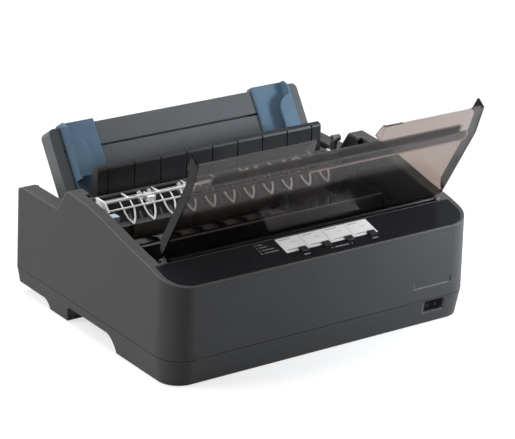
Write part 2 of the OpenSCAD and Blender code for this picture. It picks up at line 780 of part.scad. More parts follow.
// Upright beam in front of the carriage, with its rail and the rests of the ribbon tray.
module front_beam() {
    color("#5c5e60") placed() difference() {
        union() {
            block([-frame_x, -36, 20.5], [frame_x, -34.4, 99]);
            block([-frame_x, -36, 97.6], [frame_x, -32.6, 99]);
            block([-frame_x, -34.6, 80], [frame_x, -27, 81.4]);
            for (x = [-rest_x, rest_x - 24]) {
                block([x, -70, 76.4], [x + 24, -35.8, 78]);
            }
        }
        for (i = [-3:3]) {
            block([i * window_pitch - 10, -37, 40], [i * window_pitch + 10, -34, 70]);
        }
        translate([spindle_x, spindle_y, 76]) cylinder(r = 3 + play, h = 3);
    }
}

// Plane of the fingers, drawn from their roots: -Y runs down a finger, Z out of its face.
module on_fingers() {
    translate([0, finger_y, finger_z]) rotate([finger_slope, 0, 0]) children();
}

// Grey rails behind and below the fingers of the tension unit.
module paper_rails() {
    color("#85888a") placed() union() {
        block([-frame_x, 51.9, 115.4], [frame_x, 54.2, 117.4]);
        // upright ears that carry the rear rail on the side frames
        for (s = [-1, 1]) {
            along_x(1.6, s * side_x) polygon([
                [51.9, 117.4], [54.2, 117.4], [56.6, 112], [56.6, 110], [51.9, 110]
            ]);
        }
        on_fingers() {
            // channel that the tips of the fingers rest on
            along_x(2 * frame_x) polygon([
                [-12.8, -0.75], [-13.5, -0.75], [-13.5, -1.05], [-16.4, -1.05], [-16.4, -0.75],
                [-17.1, -0.75], [-17.1, -2], [-13.4, -2], [-13.4, -1.45], [-12.8, -1.45]
            ]);
            // bars between the fingers
            for (i = [-finger_n + 1:finger_n - 1]) {
                translate([i * strut_pitch - 0.8, -12.9, -1.45]) cube([1.6, 7.4, 0.5]);
            }
        }
    }
}

// Dark sheet between the platen and the fingers.
module paper_shield() {
    color("#191a1b") placed() on_fingers()
        translate([-frame_x, -13.4, -2.2]) cube([2 * frame_x, 12.8, 0.75]);
}

module tension_unit() {
    w = unit_hw;
    color("#dfe2e2") placed() union() {
        // rails from end to end
        block([-w, 36.6, 115.6], [w, 38.4, 117.6]);
        block([-w, 29.4, 110], [w, 30.8, 111.4]);
        // struts down to the lower rail, and every third one back to the grey rail
        for (i = [0:2 * finger_n - 1]) {
            x = (i - finger_n + 0.5) * strut_pitch;
            along_x(1.3, x) polygon([[37, 115.8], [38.2, 116.8], [30.6, 111.4], [29.6, 110.4]]);
            if (i % 3 == 1) {
                along_x(1.3, x) polygon([[37.6, 116], [37.6, 117.4], [51.9, 117.2], [51.9, 115.9]]);
            }
        }
        // pointed fingers that hold the paper down before the print line
        for (i = [0:finger_n - 1]) {
            on_fingers() translate([(i - (finger_n - 1) / 2) * finger_pitch, 0, -0.7])
                linear_extrude(height = 1.4) difference() {
                    polygon([[-6.4, 1], [-6.2, -4], [-4.6, -10.4], [-0.9, -16.6], [0.9, -16.6],
                             [4.6, -10.4], [6.2, -4], [6.4, 1]]);
                    polygon([[-5.1, 2], [-4.9, -3.6], [-3.4, -9.8], [0, -14.8], [3.4, -9.8],
                             [4.9, -3.6], [5.1, 2]]);
                }
        }
        // bodies between each pair of star wheels
        for (s = [-1, 1]) for (k = [3.5, 7.5]) {
            x = s * k * strut_pitch;
            block([x - 4, 32.4, 109.8], [x + 4, 37, 115.8]);
            difference() {
                block([x - 1, 36, 108], [x + 1, wheel_y + 2.1, 115.8]);
                rod_x(1 + play, x - 2, x + 2, wheel_y, wheel_z);
            }
        }
        // end plates with their pegs in the side frames
        for (s = [-1, 1]) {
            along_x(2, s * (w + 1)) difference() {
                polygon([
                    [28.6, 110], [30, 109], [37, 112], [44, 106.4], [50, 108], [54, 112], [51.8, 115.2],
                    [51.8, 118], [37, 118]
                ]);
                translate([wheel_y, wheel_z]) circle(r = 1 + play);
            }
            rod_x(1.6, s > 0 ? w + 1 : -frame_x, s > 0 ? frame_x : -w - 1, 48, 104.9);
            along_x(2, s * (w + 1)) polygon([[44, 106.6], [50, 108.6], [50.5, 103], [45.5, 103]]);
        }
    }
}

module star_wheels() {
    color("#f0f0ec") placed() union() {
        rod_x(1, -unit_hw - 2.5, unit_hw + 2.5, wheel_y, wheel_z);
        for (s = [-1, 1]) for (k = [3, 4, 7, 8]) {
            x = s * k * strut_pitch;
            translate([x - 0.5, wheel_y, wheel_z]) rotate([90, 0, 90]) linear_extrude(height = 1) union() {
                circle(r = 3.6);
                for (t = [0:11]) {
                    rotate([0, 0, t * 30]) polygon([[3.2, -1], [6.3, 0], [3.2, 1]]);
                }
            }
            rod_x(2.2, x - 2.2, x + 2.2, wheel_y, wheel_z);
        }
    }
}

// ---- platen and paper feed ----

module platen() {
    color("#26221f") placed() difference() {
        union() {
            rod_x(platen_r, -roller_hw, roller_hw, platen_y, platen_z);
            rod_x(platen_r - 3, -roller_hw - 21, roller_hw + 21, platen_y, platen_z);
        }
        rod_x(shaft_r, -roller_hw - 22, roller_hw + 22, platen_y, platen_z);
    }
}

module platen_shaft() {
    color("#a9acae") placed() union() {
        rod_x(shaft_r, gear_x - 1, hx + knob_out - 1.6, platen_y, platen_z);
        rod_x(shaft_r + 1.6, side_x + 1.2, side_x + 2.6, platen_y, platen_z);
    }
}

module platen_gear() {
    color("#d9d6cc") placed() difference() {
        union() {
            gear(z_platen, platen_c, 0, gear_x, gear_w - 1);
            rod_x(8, gear_x, gear_x + gear_w, platen_y, platen_z);
        }
        rod_x(shaft_r, gear_x - 1, gear_x + gear_w + 1, platen_y, platen_z);
        for (k = [0:5]) {
            translate([0, platen_y, platen_z]) rotate([k * 60, 0, 0])
                rod_x(3, gear_x - 1, gear_x + gear_w + 1, 13, 0);
        }
    }
}

module platen_knob() {
    x0 = hx + 1;
    x1 = hx + knob_out;
    color("#3a3a3a") placed() difference() {
        union() {
            rod_x(knob_r, x0, x1 - 1.4, platen_y, platen_z);
            translate([x1 - 1.4, platen_y, platen_z]) rotate([0, 90, 0])
                cylinder(r1 = knob_r, r2 = knob_r - 1.4, h = 1.4);
        }
        rod_x(shaft_r, x0 - 1, x1 - 1.6, platen_y, platen_z);
        // finger flutes
        for (k = [0:17]) {
            translate([0, platen_y, platen_z]) rotate([k * 20, 0, 0])
                rod_x(1.4, x0 + 1.6, x1 + 1, knob_r + 0.5, 0);
        }
        // hollow on the inner side
        difference() {
            rod_x(knob_r - 2.6, x0 - 1, x0 + 6, platen_y, platen_z);
            rod_x(shaft_r + 3, x0 - 2, x0 + 7, platen_y, platen_z);
        }
    }
}

module feed_motor() {
    color("#6b6d70") placed() difference() {
        union() {
            rod_x(16, -frame_x, motor_end, motor_y, motor_z);
            rod_x(5, motor_end - 0.2, motor_end + 3.4, motor_y, motor_z);
            rod_x(8.8, -side_x - 1.6, -side_x + 1, motor_y, motor_z);
            along_x(1.4, -frame_x + 0.7) difference() {
                translate([motor_y - 23, motor_z - 6]) square([46, 12]);
                for (d = [-19.5, 19.5]) translate([motor_y + d, motor_z]) circle(r = 1.8);
            }
        }
        rod_x(1.5 + play, -side_x - 4, motor_end - 3, motor_y, motor_z);
    }
}

module feed_pinion() {
    color("#b8a468") placed() union() {
        difference() {
            gear(z_pinion, motor_c, pinion_turn, gear_x, gear_w);
            rod_x(1.5, gear_x - 1, gear_x + gear_w + 1, motor_y, motor_z);
        }
    }
    color("#a9acae") placed() rod_x(1.5, gear_x - 0.4, motor_end - 4, motor_y, motor_z);
}

module idler(teeth, c, turn) {
    difference() {
        union() {
            gear(teeth, c, turn, gear_x, gear_w - 1);
            rod_x(5, gear_x, gear_x + gear_w + 1.6, c[0], c[1]);
        }
        rod_x(2.5 + play, gear_x - 1, gear_x + gear_w + 3, c[0], c[1]);
    }
}

module feed_idler() {
    color("#e3e0d6") placed() idler(z_feed, feed_c, feed_turn);
}

module link_idler() {
    color("#e3e0d6") placed() idler(z_link, link_c, link_turn);
}

module tractor_gear() {
    color("#d9d6cc") placed() difference() {
        union() {
            gear(z_tractor, tractor_c, tractor_turn, gear_x, gear_w - 1);
            rod_x(6, gear_x, gear_x + gear_w, tractor_y, tractor_z);
        }
        rod_x(3, gear_x - 1, gear_x + gear_w + 1, tractor_y, tractor_z);
    }
}

// ---- tractors ----

module on_tractor(x) {
    translate([x, tractor_y, tractor_z]) rotate([20, 0, 0]) children();
}

module tractor_shaft() {
    color("#a9acae") placed() union() {
        rod_x(3, gear_x - 1, side_x + 2, tractor_y, tractor_z);
        translate([0, tractor_y, tractor_z]) rotate([20, 0, 0]) cube([2 * side_x - 10, 6, 6], center = true);
    }
}

module tractor_bar() {
    color("#a9acae") placed() rod_x(3, -side_x - 2, side_x + 2, bar_y, bar_z);
}

module tractor(x, s) {
    color("#2f3134") placed() difference() {
        on_tractor(x) union() {
            along_x(18) union() {
                circle(r = 9);
                translate([-23.4, 0]) circle(r = 7);
                polygon([[-23.4, -7], [0, -9], [0, 9], [-23.4, 9]]);
                polygon([[-32, 9], [12, 9], [12, 11], [-32, 11]]);
                polygon([[-30.4, 2], [-23.4, 7], [-23.4, 9.5], [-32, 9.5]]);
            }
            // ears of the flap hinge
            for (y = [-26, -1.6]) {
                translate([s * 10.6, y + 3.6, 12]) rotate([90, 0, 0]) cylinder(r = 1.6, h = 3.6);
                block([s > 0 ? 8 : -11.6, y, 9], [s > 0 ? 11.6 : -8, y + 3.6, 12]);
            }
        }
        // room of the pin wheel, shaft and bar
        on_tractor(x) rod_x(13, -2.8, 2.8, 0, 0);
        rod_x(4.9, x - 10, x + 10, tractor_y, tractor_z);
        rod_x(3 + play, x - 10, x + 10, bar_y, bar_z);
        on_tractor(x) translate([s * 10.6, 4, 12]) rotate([90, 0, 0]) cylinder(r = 0.8 + play, h = 32);
        // the flap barrel turns between the ears
        on_tractor(x) block([s > 0 ? 8.6 : -13, -22.4 + eps, 9.9], [s > 0 ? 13 : -8.6, -1.6 - eps, 14.4]);
    }
}

module tractor_left() tractor(tractor_lx, -1);
module tractor_right() tractor(tractor_rx, 1);

module pin_wheel(x) {
    color("#d8d6ce") placed() difference() {
        on_tractor(x) union() {
            rod_x(8.6, -2.3, 2.3, 0, 0);
            for (k = [0:7]) {
                rotate([k * 45, 0, 0]) translate([0, 0, 8]) cylinder(r1 = 1.2, r2 = 0.8, h = 4.2);
            }
        }
        on_tractor(x) cube([10, 6.2, 6.2], center = true);
    }
}

module pin_wheel_left() pin_wheel(tractor_lx);
module pin_wheel_right() pin_wheel(tractor_rx);

module tractor_flap(x, s) {
    color("#3b3e42") placed() difference() {
        on_tractor(x) union() {
            difference() {
                block([s > 0 ? -9 : -10.6, -22, 12.7], [s > 0 ? 10.6 : 9, -2, 14.3]);
                block([-2.6, -13.4, 12], [2.6, -1, 16]);
            }
            difference() {
                block([s > 0 ? -9 : -8, -28, 12.7], [s > 0 ? 8 : 9, 11, 14.3]);
                block([-2.6, -13.4, 12], [2.6, 13, 16]);
            }
            translate([s * 10.6, -2, 12]) rotate([90, 0, 0]) cylinder(r = 1.6, h = 20);
            translate([s * 10.6, 1.8, 12]) rotate([90, 0, 0]) cylinder(r = 0.8, h = 27.6);
        }
    }
}

module tractor_flap_left() tractor_flap(tractor_lx, -1);
module tractor_flap_right() tractor_flap(tractor_rx, 1);

// ---- carriage ----

module guide_rod() {
    color("#b9b0a2") placed() rod_x(rod_r, -side_x - 2, side_x + 2, rod_y, rod_z);
}

module carriage() {
    color("#2c2d30") placed() difference() {
        union() {
            along_x(46, carriage_x) polygon([
                [-24, 57.6], [-2, 57.6], [0, 60], [0, 72], [12, 76], [12, 78.8], [-24, 78.8], [-26.2, 76]
            ]);
            // foot that glides on the rail
            along_x(30, carriage_x) polygon([
                [-26.4, 77], [-24, 77], [-24, 84], [-33, 84], [-33, 81.9], [-26.4, 81.9]
            ]);
            // clip on the belt
            block([carriage_x - 6, -24.8, 46.4], [carriage_x + 6, -16.6, 58]);
        }
        rod_x(rod_r + play, carriage_x - 30, carriage_x + 30, rod_y, rod_z);
        block([carriage_x - 10, -23.4, 48.4], [carriage_x + 10, -16, 51]);
        block([carriage_x - 18, -22, 56], [carriage_x - 8, -2, 58.6]);
        block([carriage_x + 8, -22, 56], [carriage_x + 18, -2, 58.6]);
    }
}

module print_head() {
    color("#1b1c1e") placed() union() {
        difference() {
            block([carriage_x - 19, -21, 78.8], [carriage_x + 19, 6, 101]);
            for (i = [0:7]) {
                block([carriage_x - 17.4 + i * 4.6, -22, 84], [carriage_x - 14.8 + i * 4.6, 2.5, 102]);
            }
        }
        along_x(15, carriage_x) polygon([
            [5.8, 79], [10, 79], [15, 84], [20.1, 87], [20.1, 93], [15, 96.6], [5.8, 100]
        ]);
    }
}

module ribbon_guide() {
    color("#4a4d52") placed() difference() {
        union() {
            block([carriage_x - 19, 16.4, 81], [carriage_x + 19, 17.6, 99]);
            for (s = [-1, 1]) {
                block([carriage_x + (s > 0 ? 15 : -17), 6, 86], [carriage_x + (s > 0 ? 17 : -15), 17, 94]);
            }
        }
        block([carriage_x - 8, 10, 82], [carriage_x + 8, 20, 98]);
    }
}

// Tray that a ribbon cartridge drops into, with the spindle that would turn it.
module ribbon_tray() {
    y0 = panel_end + 7.2;
    y1 = -37.4;
    color("#191a1c") placed() difference() {
        union() {
            block([-tray_hw, y0, 78], [tray_hw, y1, 80]);
            // rim, higher at the front and the ends
            block([-tray_hw, y0, 79], [tray_hw, y0 + 2, 90]);
            block([-tray_hw, y1 - 2, 79], [tray_hw, y1, 84]);
            for (s = [-1, 1]) {
                along_x(2, s * (tray_hw - 1))
                    polygon([[y0, 79], [y0, 90], [y1 - 14, 90], [y1, 84], [y1, 79]]);
                // seats with a notch for the pegs of a cartridge
                along_x(6, s * (tray_hw - 16)) polygon([
                    [y1 - 22, 79], [y1 - 22, 86], [y1 - 15, 86], [y1 - 13, 83], [y1 - 11, 83], [y1 - 9, 86],
                    [y1 - 4, 86], [y1 - 4, 79]
                ]);
            }
            translate([spindle_x, spindle_y, 79]) cylinder(r = 7, h = 3);
        }
        translate([spindle_x, spindle_y, 76]) cylinder(r = 3 + play, h = 9);
        // finger hold and openings in the floor of the tray
        block([-20, y0 - 1, 84], [20, y0 + 3, 91]);
        for (i = [-1:1]) {
            block([i * 52 - 18, y0 + 14, 77], [i * 52 + 18, y1 - 12, 81]);
        }
    }
}

module ribbon_spindle() {
    color("#5e646c") placed() translate([spindle_x, spindle_y, 0]) union() {
        translate([0, 0, 76.6]) cylinder(r = 3, h = 9);
        translate([0, 0, 82.2]) cylinder(r = 5, h = 1.6);
        translate([0, 0, 83.8]) cylinder(r = 2, h = 12);
        for (k = [0:2]) {
            rotate([0, 0, k * 60]) translate([-3.4, -0.7, 83.8]) cube([6.8, 1.4, 9]);
        }
    }
}

// ---- carriage drive ----

module stadium(r) {
    for (s = [-1, 1]) translate([s * pulley_x, belt_z]) circle(r = r);
    translate([-pulley_x, belt_z - r]) square([2 * pulley_x, 2 * r]);
}

module drive_belt() {
    color("#1a1a1a") placed() translate([0, belt_y + 3, 0]) rotate([90, 0, 0])
            linear_extrude(height = 6) difference() {
        stadium(pulley_r + 1.5);
        stadium(pulley_r + 0.3);
    }
}

module pulley(x, bore) {
    difference() {
        union() {
            rod_y_dir(pulley_r, belt_y - 3.2, belt_y + 3.2, x, belt_z);
            rod_y_dir(pulley_r + 2.4, belt_y - 4.4, belt_y - 3.3, x, belt_z);
            rod_y_dir(3.6, belt_y - 3.4, belt_y + 3.7, x, belt_z);
        }
        rod_y_dir(bore, belt_y - 6, belt_y + 6, x, belt_z);
        for (k = [0:17]) {
            translate([x, belt_y + 3.3, belt_z]) rotate([90, 0, 0]) rotate([0, 0, k * 20])
                translate([pulley_r, 0, 0]) cylinder(r = 0.6, h = 6.5);
        }
    }
}

module drive_pulley() {
    color("#b8a468") placed() pulley(-pulley_x, 1.5);
    color("#a9acae") placed() rod_y_dir(1.5, belt_y - 4.4, 6, -pulley_x, belt_z);
}

module return_pulley() {
    color("#d8d6ce") placed() pulley(pulley_x, 2 + play);
}

module carriage_motor() {
    color("#6b6d70") placed() difference() {
        union() {
            rod_y_dir(16, -14.4, 12, -pulley_x, belt_z);
            rod_y_dir(4.8, -15.8, -14, -pulley_x, belt_z);
            rod_y_dir(7, 12, 15, -pulley_x, belt_z);
        }
        rod_y_dir(1.5 + play, -17, 7, -pulley_x, belt_z);
    }
}

// ---- levers ----

module release_lever() {
    x0 = side_x + 5;
    color("#6a6d70") placed() difference() {
        union() {
            rod_x(6, x0, x0 + 3, 62, 98);
            along_x(3, x0 + 1.5) polygon([[57, 99], [66.6, 101], [57, 127.4], [50.6, 126]]);
            rod_x(3.6, x0 - 2.6, x0 + 6, 53.4, 127);
        }
        rod_x(3 + play, x0 - 2, x0 + 5, 62, 98);
    }
}

module gap_lever() {
    x1 = -side_x - 1.4;
    color("#9fb6c9") placed() difference() {
        union() {
            rod_x(6, x1 - 3, x1, 0, 84);
            along_x(3, x1 - 1.5) polygon([[-4, 86], [4.8, 84], [11.6, 110], [6, 111]]);
            block([x1 - 4.6, 4.4, 110], [x1 + 2.6, 13.4, 115.4]);
        }
        rod_x(3 + play, x1 - 5, x1 + 1, 0, 84);
    }
}

// ---- electrics ----

module circuit_board() {
    // drawn from the left front corner of the board
    color("#2f5a3c") placed() translate([board_x, -hy + 11.5, 0]) union() {
        block([0, 0, 9], [board_w, 74, 10.6]);
        for (x = [6, board_w * 0.38, board_w * 0.73, board_w - 6]) for (y = [6, 68]) {
            translate([x, y, 4.2]) cylinder(r = 3, h = 4.8);
        }
    }
    color("#1c1c1c") placed() translate([board_x, -hy + 11.5, 0]) union() {
        block([board_w * 0.46, 22, 10.6], [board_w * 0.46 + 24, 46, 13]);
        block([board_w * 0.29, 16, 10.6], [board_w * 0.29 + 28, 28, 13.4]);
        block([board_w * 0.6, 52, 10.6], [board_w * 0.6 + 26, 62, 14]);
        block([10, 14, 10.6], [40, 20, 19]);
        block([board_w - 54, 62, 10.6], [board_w - 14, 69, 19]);
        for (i = [0:3]) translate([50 + i * 12, 60, 10.6]) cylinder(r = 4.2, h = 14);
    }
    color("#8f9294") placed() translate([board_x + board_w - 45, -hy + 29.5, 0]) union() {
        block([0, 0, 10.6], [27, 24, 13]);
        for (i = [0:6]) {
            block([1 + i * 4, 0, 10.6], [2.4 + i * 4, 24, 30]);
        }
    }
}

module power_unit() {
    y0 = -hy + 17.5;
    color("#a5a295") placed() difference() {
        union() {
            block([unit_x, y0 + 2, 4.2], [unit_x + 64, y0 + 64, 6]);
            block([unit_x + 6, y0 + 8, 6], [unit_x + 58, y0 + 36, 44]);
            block([unit_x + 12, y0, 14], [unit_x + 52, y0 + 44, 36]);
        }
        for (i = [0:5]) {
            block([unit_x + 14 + i * 6.4, y0 - 1, 18], [unit_x + 17 + i * 6.4, y0 + 1.4, 32]);
        }
    }
    color("#3c3c3c") placed() for (i = [0:1]) {
        translate([unit_x + 16 + i * 26, y0 + 54, 6]) cylinder(r = 8, h = 30);
    }
}

module rear_sockets() {
    y1 = hy - 0.6;
    color("#17181a") placed() translate([socket_x, 0, 0]) difference() {
        union() {
            block([0, y1 - 16, 24.2], [92, y1 - 2, 45.6]);
            block([2, y1 - 2.2, 27], [62, y1, 43.6]);
            block([70, y1 - 2.2, 27], [88, y1, 43.6]);
        }
        // wide and square sockets
        block([7, y1 - 9, 31], [51, y1 + 1, 40]);
        block([72.5, y1 - 10, 30], [85, y1 + 1, 41]);
    }
    color("#c4c7c8") placed() translate([socket_x, 0, 0]) difference() {
        block([11, y1 - 9.2, 33.6], [47, y1 - 5.2, 37.4]);
        block([12.4, y1 - 8, 35], [45.6, y1 - 4, 36]);
    }
}

module power_inlet() {
    y1 = hy - 0.4;
    color("#141415") placed() translate([inlet_x, 0, inlet_z]) difference() {
        union() {
            block([-14, y1 - 24, -11], [14, y1, 11]);
            // flange down to the lower case
            block([-14, y1 - 2, part_z + 0.4 - inlet_z], [14, y1, -10]);
        }
        rotate([90, 0, 0]) translate([0, 0, -y1 - 1]) linear_extrude(height = 18.6)
            polygon([[-11.6, -8], [11.6, -8], [11.6, 4], [7.6, 8], [-7.6, 8], [-11.6, 4]]);
    }
    color("#c9ccce") placed() translate([inlet_x, 0, inlet_z]) for (p = [[-7, -1], [0, 3], [7, -1]]) {
        block([p[0] - 1, y1 - 17.8, p[1] - 2.4], [p[0] + 1, y1 - 4, p[1] + 2.4]);
    }
}

lower_case();
upper_case();
well_skirt();
feet();
control_panel();
label_windows();
lamps();
key_1();
key_2();
key_3();
key_4();
switch_bezel();
power_rocker();
cover();
sheet_guide();
edge_guide_left();
edge_guide_right();
separator();
side_frames();
chassis();
front_beam();
paper_rails();
paper_shield();
tension_unit();
star_wheels();
platen();
platen_shaft();
platen_gear();
platen_knob();
feed_motor();
feed_pinion();
feed_idler();
link_idler();
tractor_gear();
tractor_shaft();
tractor_bar();
tractor_left();
tractor_right();
pin_wheel_left();
pin_wheel_right();
tractor_flap_left();
tractor_flap_right();
guide_rod();
carriage();
print_head();
ribbon_guide();
ribbon_tray();
ribbon_spindle();
drive_belt();
drive_pulley();
return_pulley();
carriage_motor();
release_lever();
gap_lever();
circuit_board();
power_unit();
rear_sockets();
power_inlet();
paper_chute();
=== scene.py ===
# %% [markdown]
# # A desktop dot matrix printer
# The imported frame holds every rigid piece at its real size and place, in metres, with X to the
# right, Y to the back and Z up. This notebook dresses it: it gives each piece its finish, adds the
# small fittings that repeat, and sets a floor, a light and a camera. Nothing here changes a size.

# %% Load the frame
import json
import math

import bpy
from mathutils import Matrix, Vector


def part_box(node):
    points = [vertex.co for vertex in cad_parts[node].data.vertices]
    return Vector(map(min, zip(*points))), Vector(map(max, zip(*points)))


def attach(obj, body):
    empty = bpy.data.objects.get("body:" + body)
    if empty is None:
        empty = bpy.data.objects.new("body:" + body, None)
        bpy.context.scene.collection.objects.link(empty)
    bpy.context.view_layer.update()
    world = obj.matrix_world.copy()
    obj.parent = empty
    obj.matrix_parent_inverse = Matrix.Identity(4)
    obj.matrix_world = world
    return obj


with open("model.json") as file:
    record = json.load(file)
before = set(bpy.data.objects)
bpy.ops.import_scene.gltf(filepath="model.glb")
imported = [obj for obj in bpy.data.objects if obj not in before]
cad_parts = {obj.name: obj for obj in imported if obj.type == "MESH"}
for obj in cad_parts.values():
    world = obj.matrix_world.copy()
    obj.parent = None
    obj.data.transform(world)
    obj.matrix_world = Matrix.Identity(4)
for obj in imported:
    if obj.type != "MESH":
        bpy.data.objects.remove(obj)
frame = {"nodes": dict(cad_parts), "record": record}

MM = 0.001
NODES = frame["nodes"]
SCENE = bpy.context.scene
SCENE.view_settings.view_transform = "Standard"


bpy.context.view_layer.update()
case_low, case_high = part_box("lower_case")
CASE_X = (case_low.x + case_high.x) / 2
CASE_Y = (case_low.y + case_high.y) / 2
print("middle of the case:", round(CASE_X, 5), round(CASE_Y, 5))

# %% [markdown]
# A camera is a lens length, a place and a turn. The lens is long (about 177 mm on a 36 mm sensor),
# so the sides of the case stay almost parallel. The turn is built from three directions that stand
# square to each other (right, up and back) and are put into the columns of one matrix. Euler angles
# would do too, but three directions are easier to check.

# %% Camera
LENS_MM, SENSOR_MM = 176.75, 36
CAMERA_TURN = math.radians(36.07)
CAMERA_TILT = math.radians(21.45)
CAMERA_ROLL = math.radians(2.17)
CAMERA_PLACE = Vector((-1.3258 + CASE_X, -1.8414 + CASE_Y, 0.9783))


def camera_matrix(turn, tilt, roll, place):
    """Looks along turn (from +Y toward +X), tilted down, rolled about the view."""
    level = math.cos(tilt)
    forward = Vector((math.sin(turn) * level, math.cos(turn) * level, -math.sin(tilt)))
    level_right = Vector((math.cos(turn), -math.sin(turn), 0))
    level_up = level_right.cross(forward)
    right = math.cos(roll) * level_right + math.sin(roll) * level_up
    up = -math.sin(roll) * level_right + math.cos(roll) * level_up
    turned = Matrix((right, up, -forward)).transposed().to_4x4()
    turned.translation = place
    return turned


camera_data = bpy.data.cameras.new("camera")
camera_data.lens = LENS_MM
camera_data.sensor_width = SENSOR_MM
camera_data.sensor_fit = "HORIZONTAL"
camera_data.clip_end = 50
camera = bpy.data.objects.new("camera", camera_data)
SCENE.collection.objects.link(camera)
camera.matrix_world = camera_matrix(CAMERA_TURN, CAMERA_TILT, CAMERA_ROLL, CAMERA_PLACE)
SCENE.camera = camera
print("camera stands", round(CAMERA_PLACE.length, 3), "m from the origin")

# %% [markdown]
# A material is a small graph of nodes. The finishes here share three ideas: a fine bump for the
# texture of the mould or the metal, a broad soft mottle so that no face is one flat colour, and a
# Bevel node that rounds sharp edges a little for the light, because no moulded or bent part has a
# knife edge. Patterns read Object coordinates, which here are metres in the part's own frame, so
# one pattern runs on across neighbouring pieces. A Mix node has a set of sockets for each kind of
# value, so its colour sockets are reached by number.

# %% Helpers for node graphs
MIX_AMOUNT, MIX_FIRST, MIX_SECOND, MIX_RESULT = 0, 6, 7, 2


def add_node(tree, kind, **inputs):
    """Adds a node and sets its inputs by name (spaces written as underscores)."""
    made = tree.nodes.new(kind)
    for name, value in inputs.items():
        made.inputs[name.replace("_", " ")].default_value = value
    return made


def join(tree, out_socket, in_socket):
    """Draws one link from an output to an input."""
    tree.links.new(out_socket, in_socket)


def grey(value):
    """An opaque grey as red, green, blue and alpha."""
    return (value, value, value, 1)


def scaled(colour, factor):
    """The colour made darker or lighter, with its alpha at 1."""
    return tuple(min(1, c * factor) for c in colour[:3]) + (1,)


def noise(tree, where, scale, detail=3, rough=0.55):
    """A Noise node; scale is in spots per metre."""
    made = add_node(tree, "ShaderNodeTexNoise", Scale=scale, Detail=detail, Roughness=rough)
    join(tree, where, made.inputs["Vector"])
    return made.outputs["Fac"]


def ranged(tree, value, low, high, from_low=0.3, from_high=0.7):
    """Moves a value from one range to another; noise lives mostly between 0.3 and 0.7."""
    made = add_node(tree, "ShaderNodeMapRange")
    made.inputs["From Min"].default_value = from_low
    made.inputs["From Max"].default_value = from_high
    made.inputs["To Min"].default_value = low
    made.inputs["To Max"].default_value = high
    join(tree, value, made.inputs["Value"])
    return made.outputs["Result"]


def worked(tree, operation, first, second):
    """One Math node; each side is a socket or a number."""
    made = tree.nodes.new("ShaderNodeMath")
    made.operation = operation
    for socket, value in zip(made.inputs, (first, second)):
        if isinstance(value, bpy.types.NodeSocket):
            join(tree, value, socket)
        else:
            socket.default_value = value
    return made.outputs[0]


def mixed(tree, amount, first, second):
    """Mixes two colours, each a socket or a value."""
    made = tree.nodes.new("ShaderNodeMix")
    made.data_type = "RGBA"
    for number, value in ((MIX_AMOUNT, amount), (MIX_FIRST, first), (MIX_SECOND, second)):
        if isinstance(value, bpy.types.NodeSocket):
            join(tree, value, made.inputs[number])
        else:
            made.inputs[number].default_value = value
    return made.outputs[MIX_RESULT]


print("node helpers ready")

# %% [markdown]
# Patterns that run one way, such as the lines of rolled steel or a light scuff, are noise whose
# coordinates are squeezed along one axis and stretched along another. The edge mask compares the
# softened normal of a Bevel node with the true one: they differ only near an edge. Their dot product
# is 1 where they agree, so the mask is full at 0.8 and gone at 0.995.

# %% Helpers for patterns and edges
EDGE_FULL, EDGE_NONE = 0.8, 0.995


def stretched(tree, where, scale):
    """The same place, squeezed or drawn out along each axis."""
    made = tree.nodes.new("ShaderNodeMapping")
    made.inputs["Scale"].default_value = scale
    join(tree, where, made.inputs["Vector"])
    return made.outputs["Vector"]


def new_material(name):
    """Returns the material, its tree, its shader and the place of a point on the piece."""
    made = bpy.data.materials.new(name)
    made.use_nodes = True
    tree = made.node_tree
    shader = tree.nodes["Principled BSDF"]
    where = tree.nodes.new("ShaderNodeTexCoord").outputs["Object"]
    return made, tree, shader, where


def edge_mask(tree, radius):
    """Returns the softened normal and how near an edge a point is, 0 in the middle of a face."""
    soft = tree.nodes.new("ShaderNodeBevel")
    soft.samples = 4
    soft.inputs["Radius"].default_value = radius
    hard = tree.nodes.new("ShaderNodeNewGeometry")
    dot = tree.nodes.new("ShaderNodeVectorMath")
    dot.operation = "DOT_PRODUCT"
    join(tree, soft.outputs["Normal"], dot.inputs[0])
    join(tree, hard.outputs["Normal"], dot.inputs[1])
    return soft.outputs["Normal"], ranged(tree, dot.outputs["Value"], 1, 0, EDGE_FULL, EDGE_NONE)


def inside(tree, value, low, high, soft=0.5):
    """1 where a length in millimetres lies between low and high, with soft ends."""
    rising = ranged(tree, value, 0, 1, (low - soft) * MM, (low + soft) * MM)
    falling = ranged(tree, value, 1, 0, (high - soft) * MM, (high + soft) * MM)
    return worked(tree, "MULTIPLY", rising, falling)


def bumped(tree, height, depth, normal=None):
    """A normal that leans with the height; depth is in metres."""
    made = add_node(tree, "ShaderNodeBump", Strength=1.0, Distance=depth)
    join(tree, height, made.inputs["Height"])
    if normal is not None:
        join(tree, normal, made.inputs["Normal"])
    return made.outputs["Normal"]


print("pattern helpers ready")

# %% [markdown]
# ## Moulded plastic
# The steel mould of a case is spark-eroded, which leaves a fine even grain on the plastic. One
# noise of about half a millimetre makes the grain, a broad one makes the slight pooling of the
# surface, and a few long faint scuffs come from cloths and hands. Edges are painted lighter by the
# edge mask: a painted highlight where the light catches the rounded rims. A painted image would do
# this for one piece only; a pattern in metres serves them all.

# %% Moulded plastic and rubber
MOTTLE_NOISE = 28
SCUFF_STRETCH = (30, 240, 60)
SEAM_SHADE, SEAM_SOFT = 0.12, 0.15


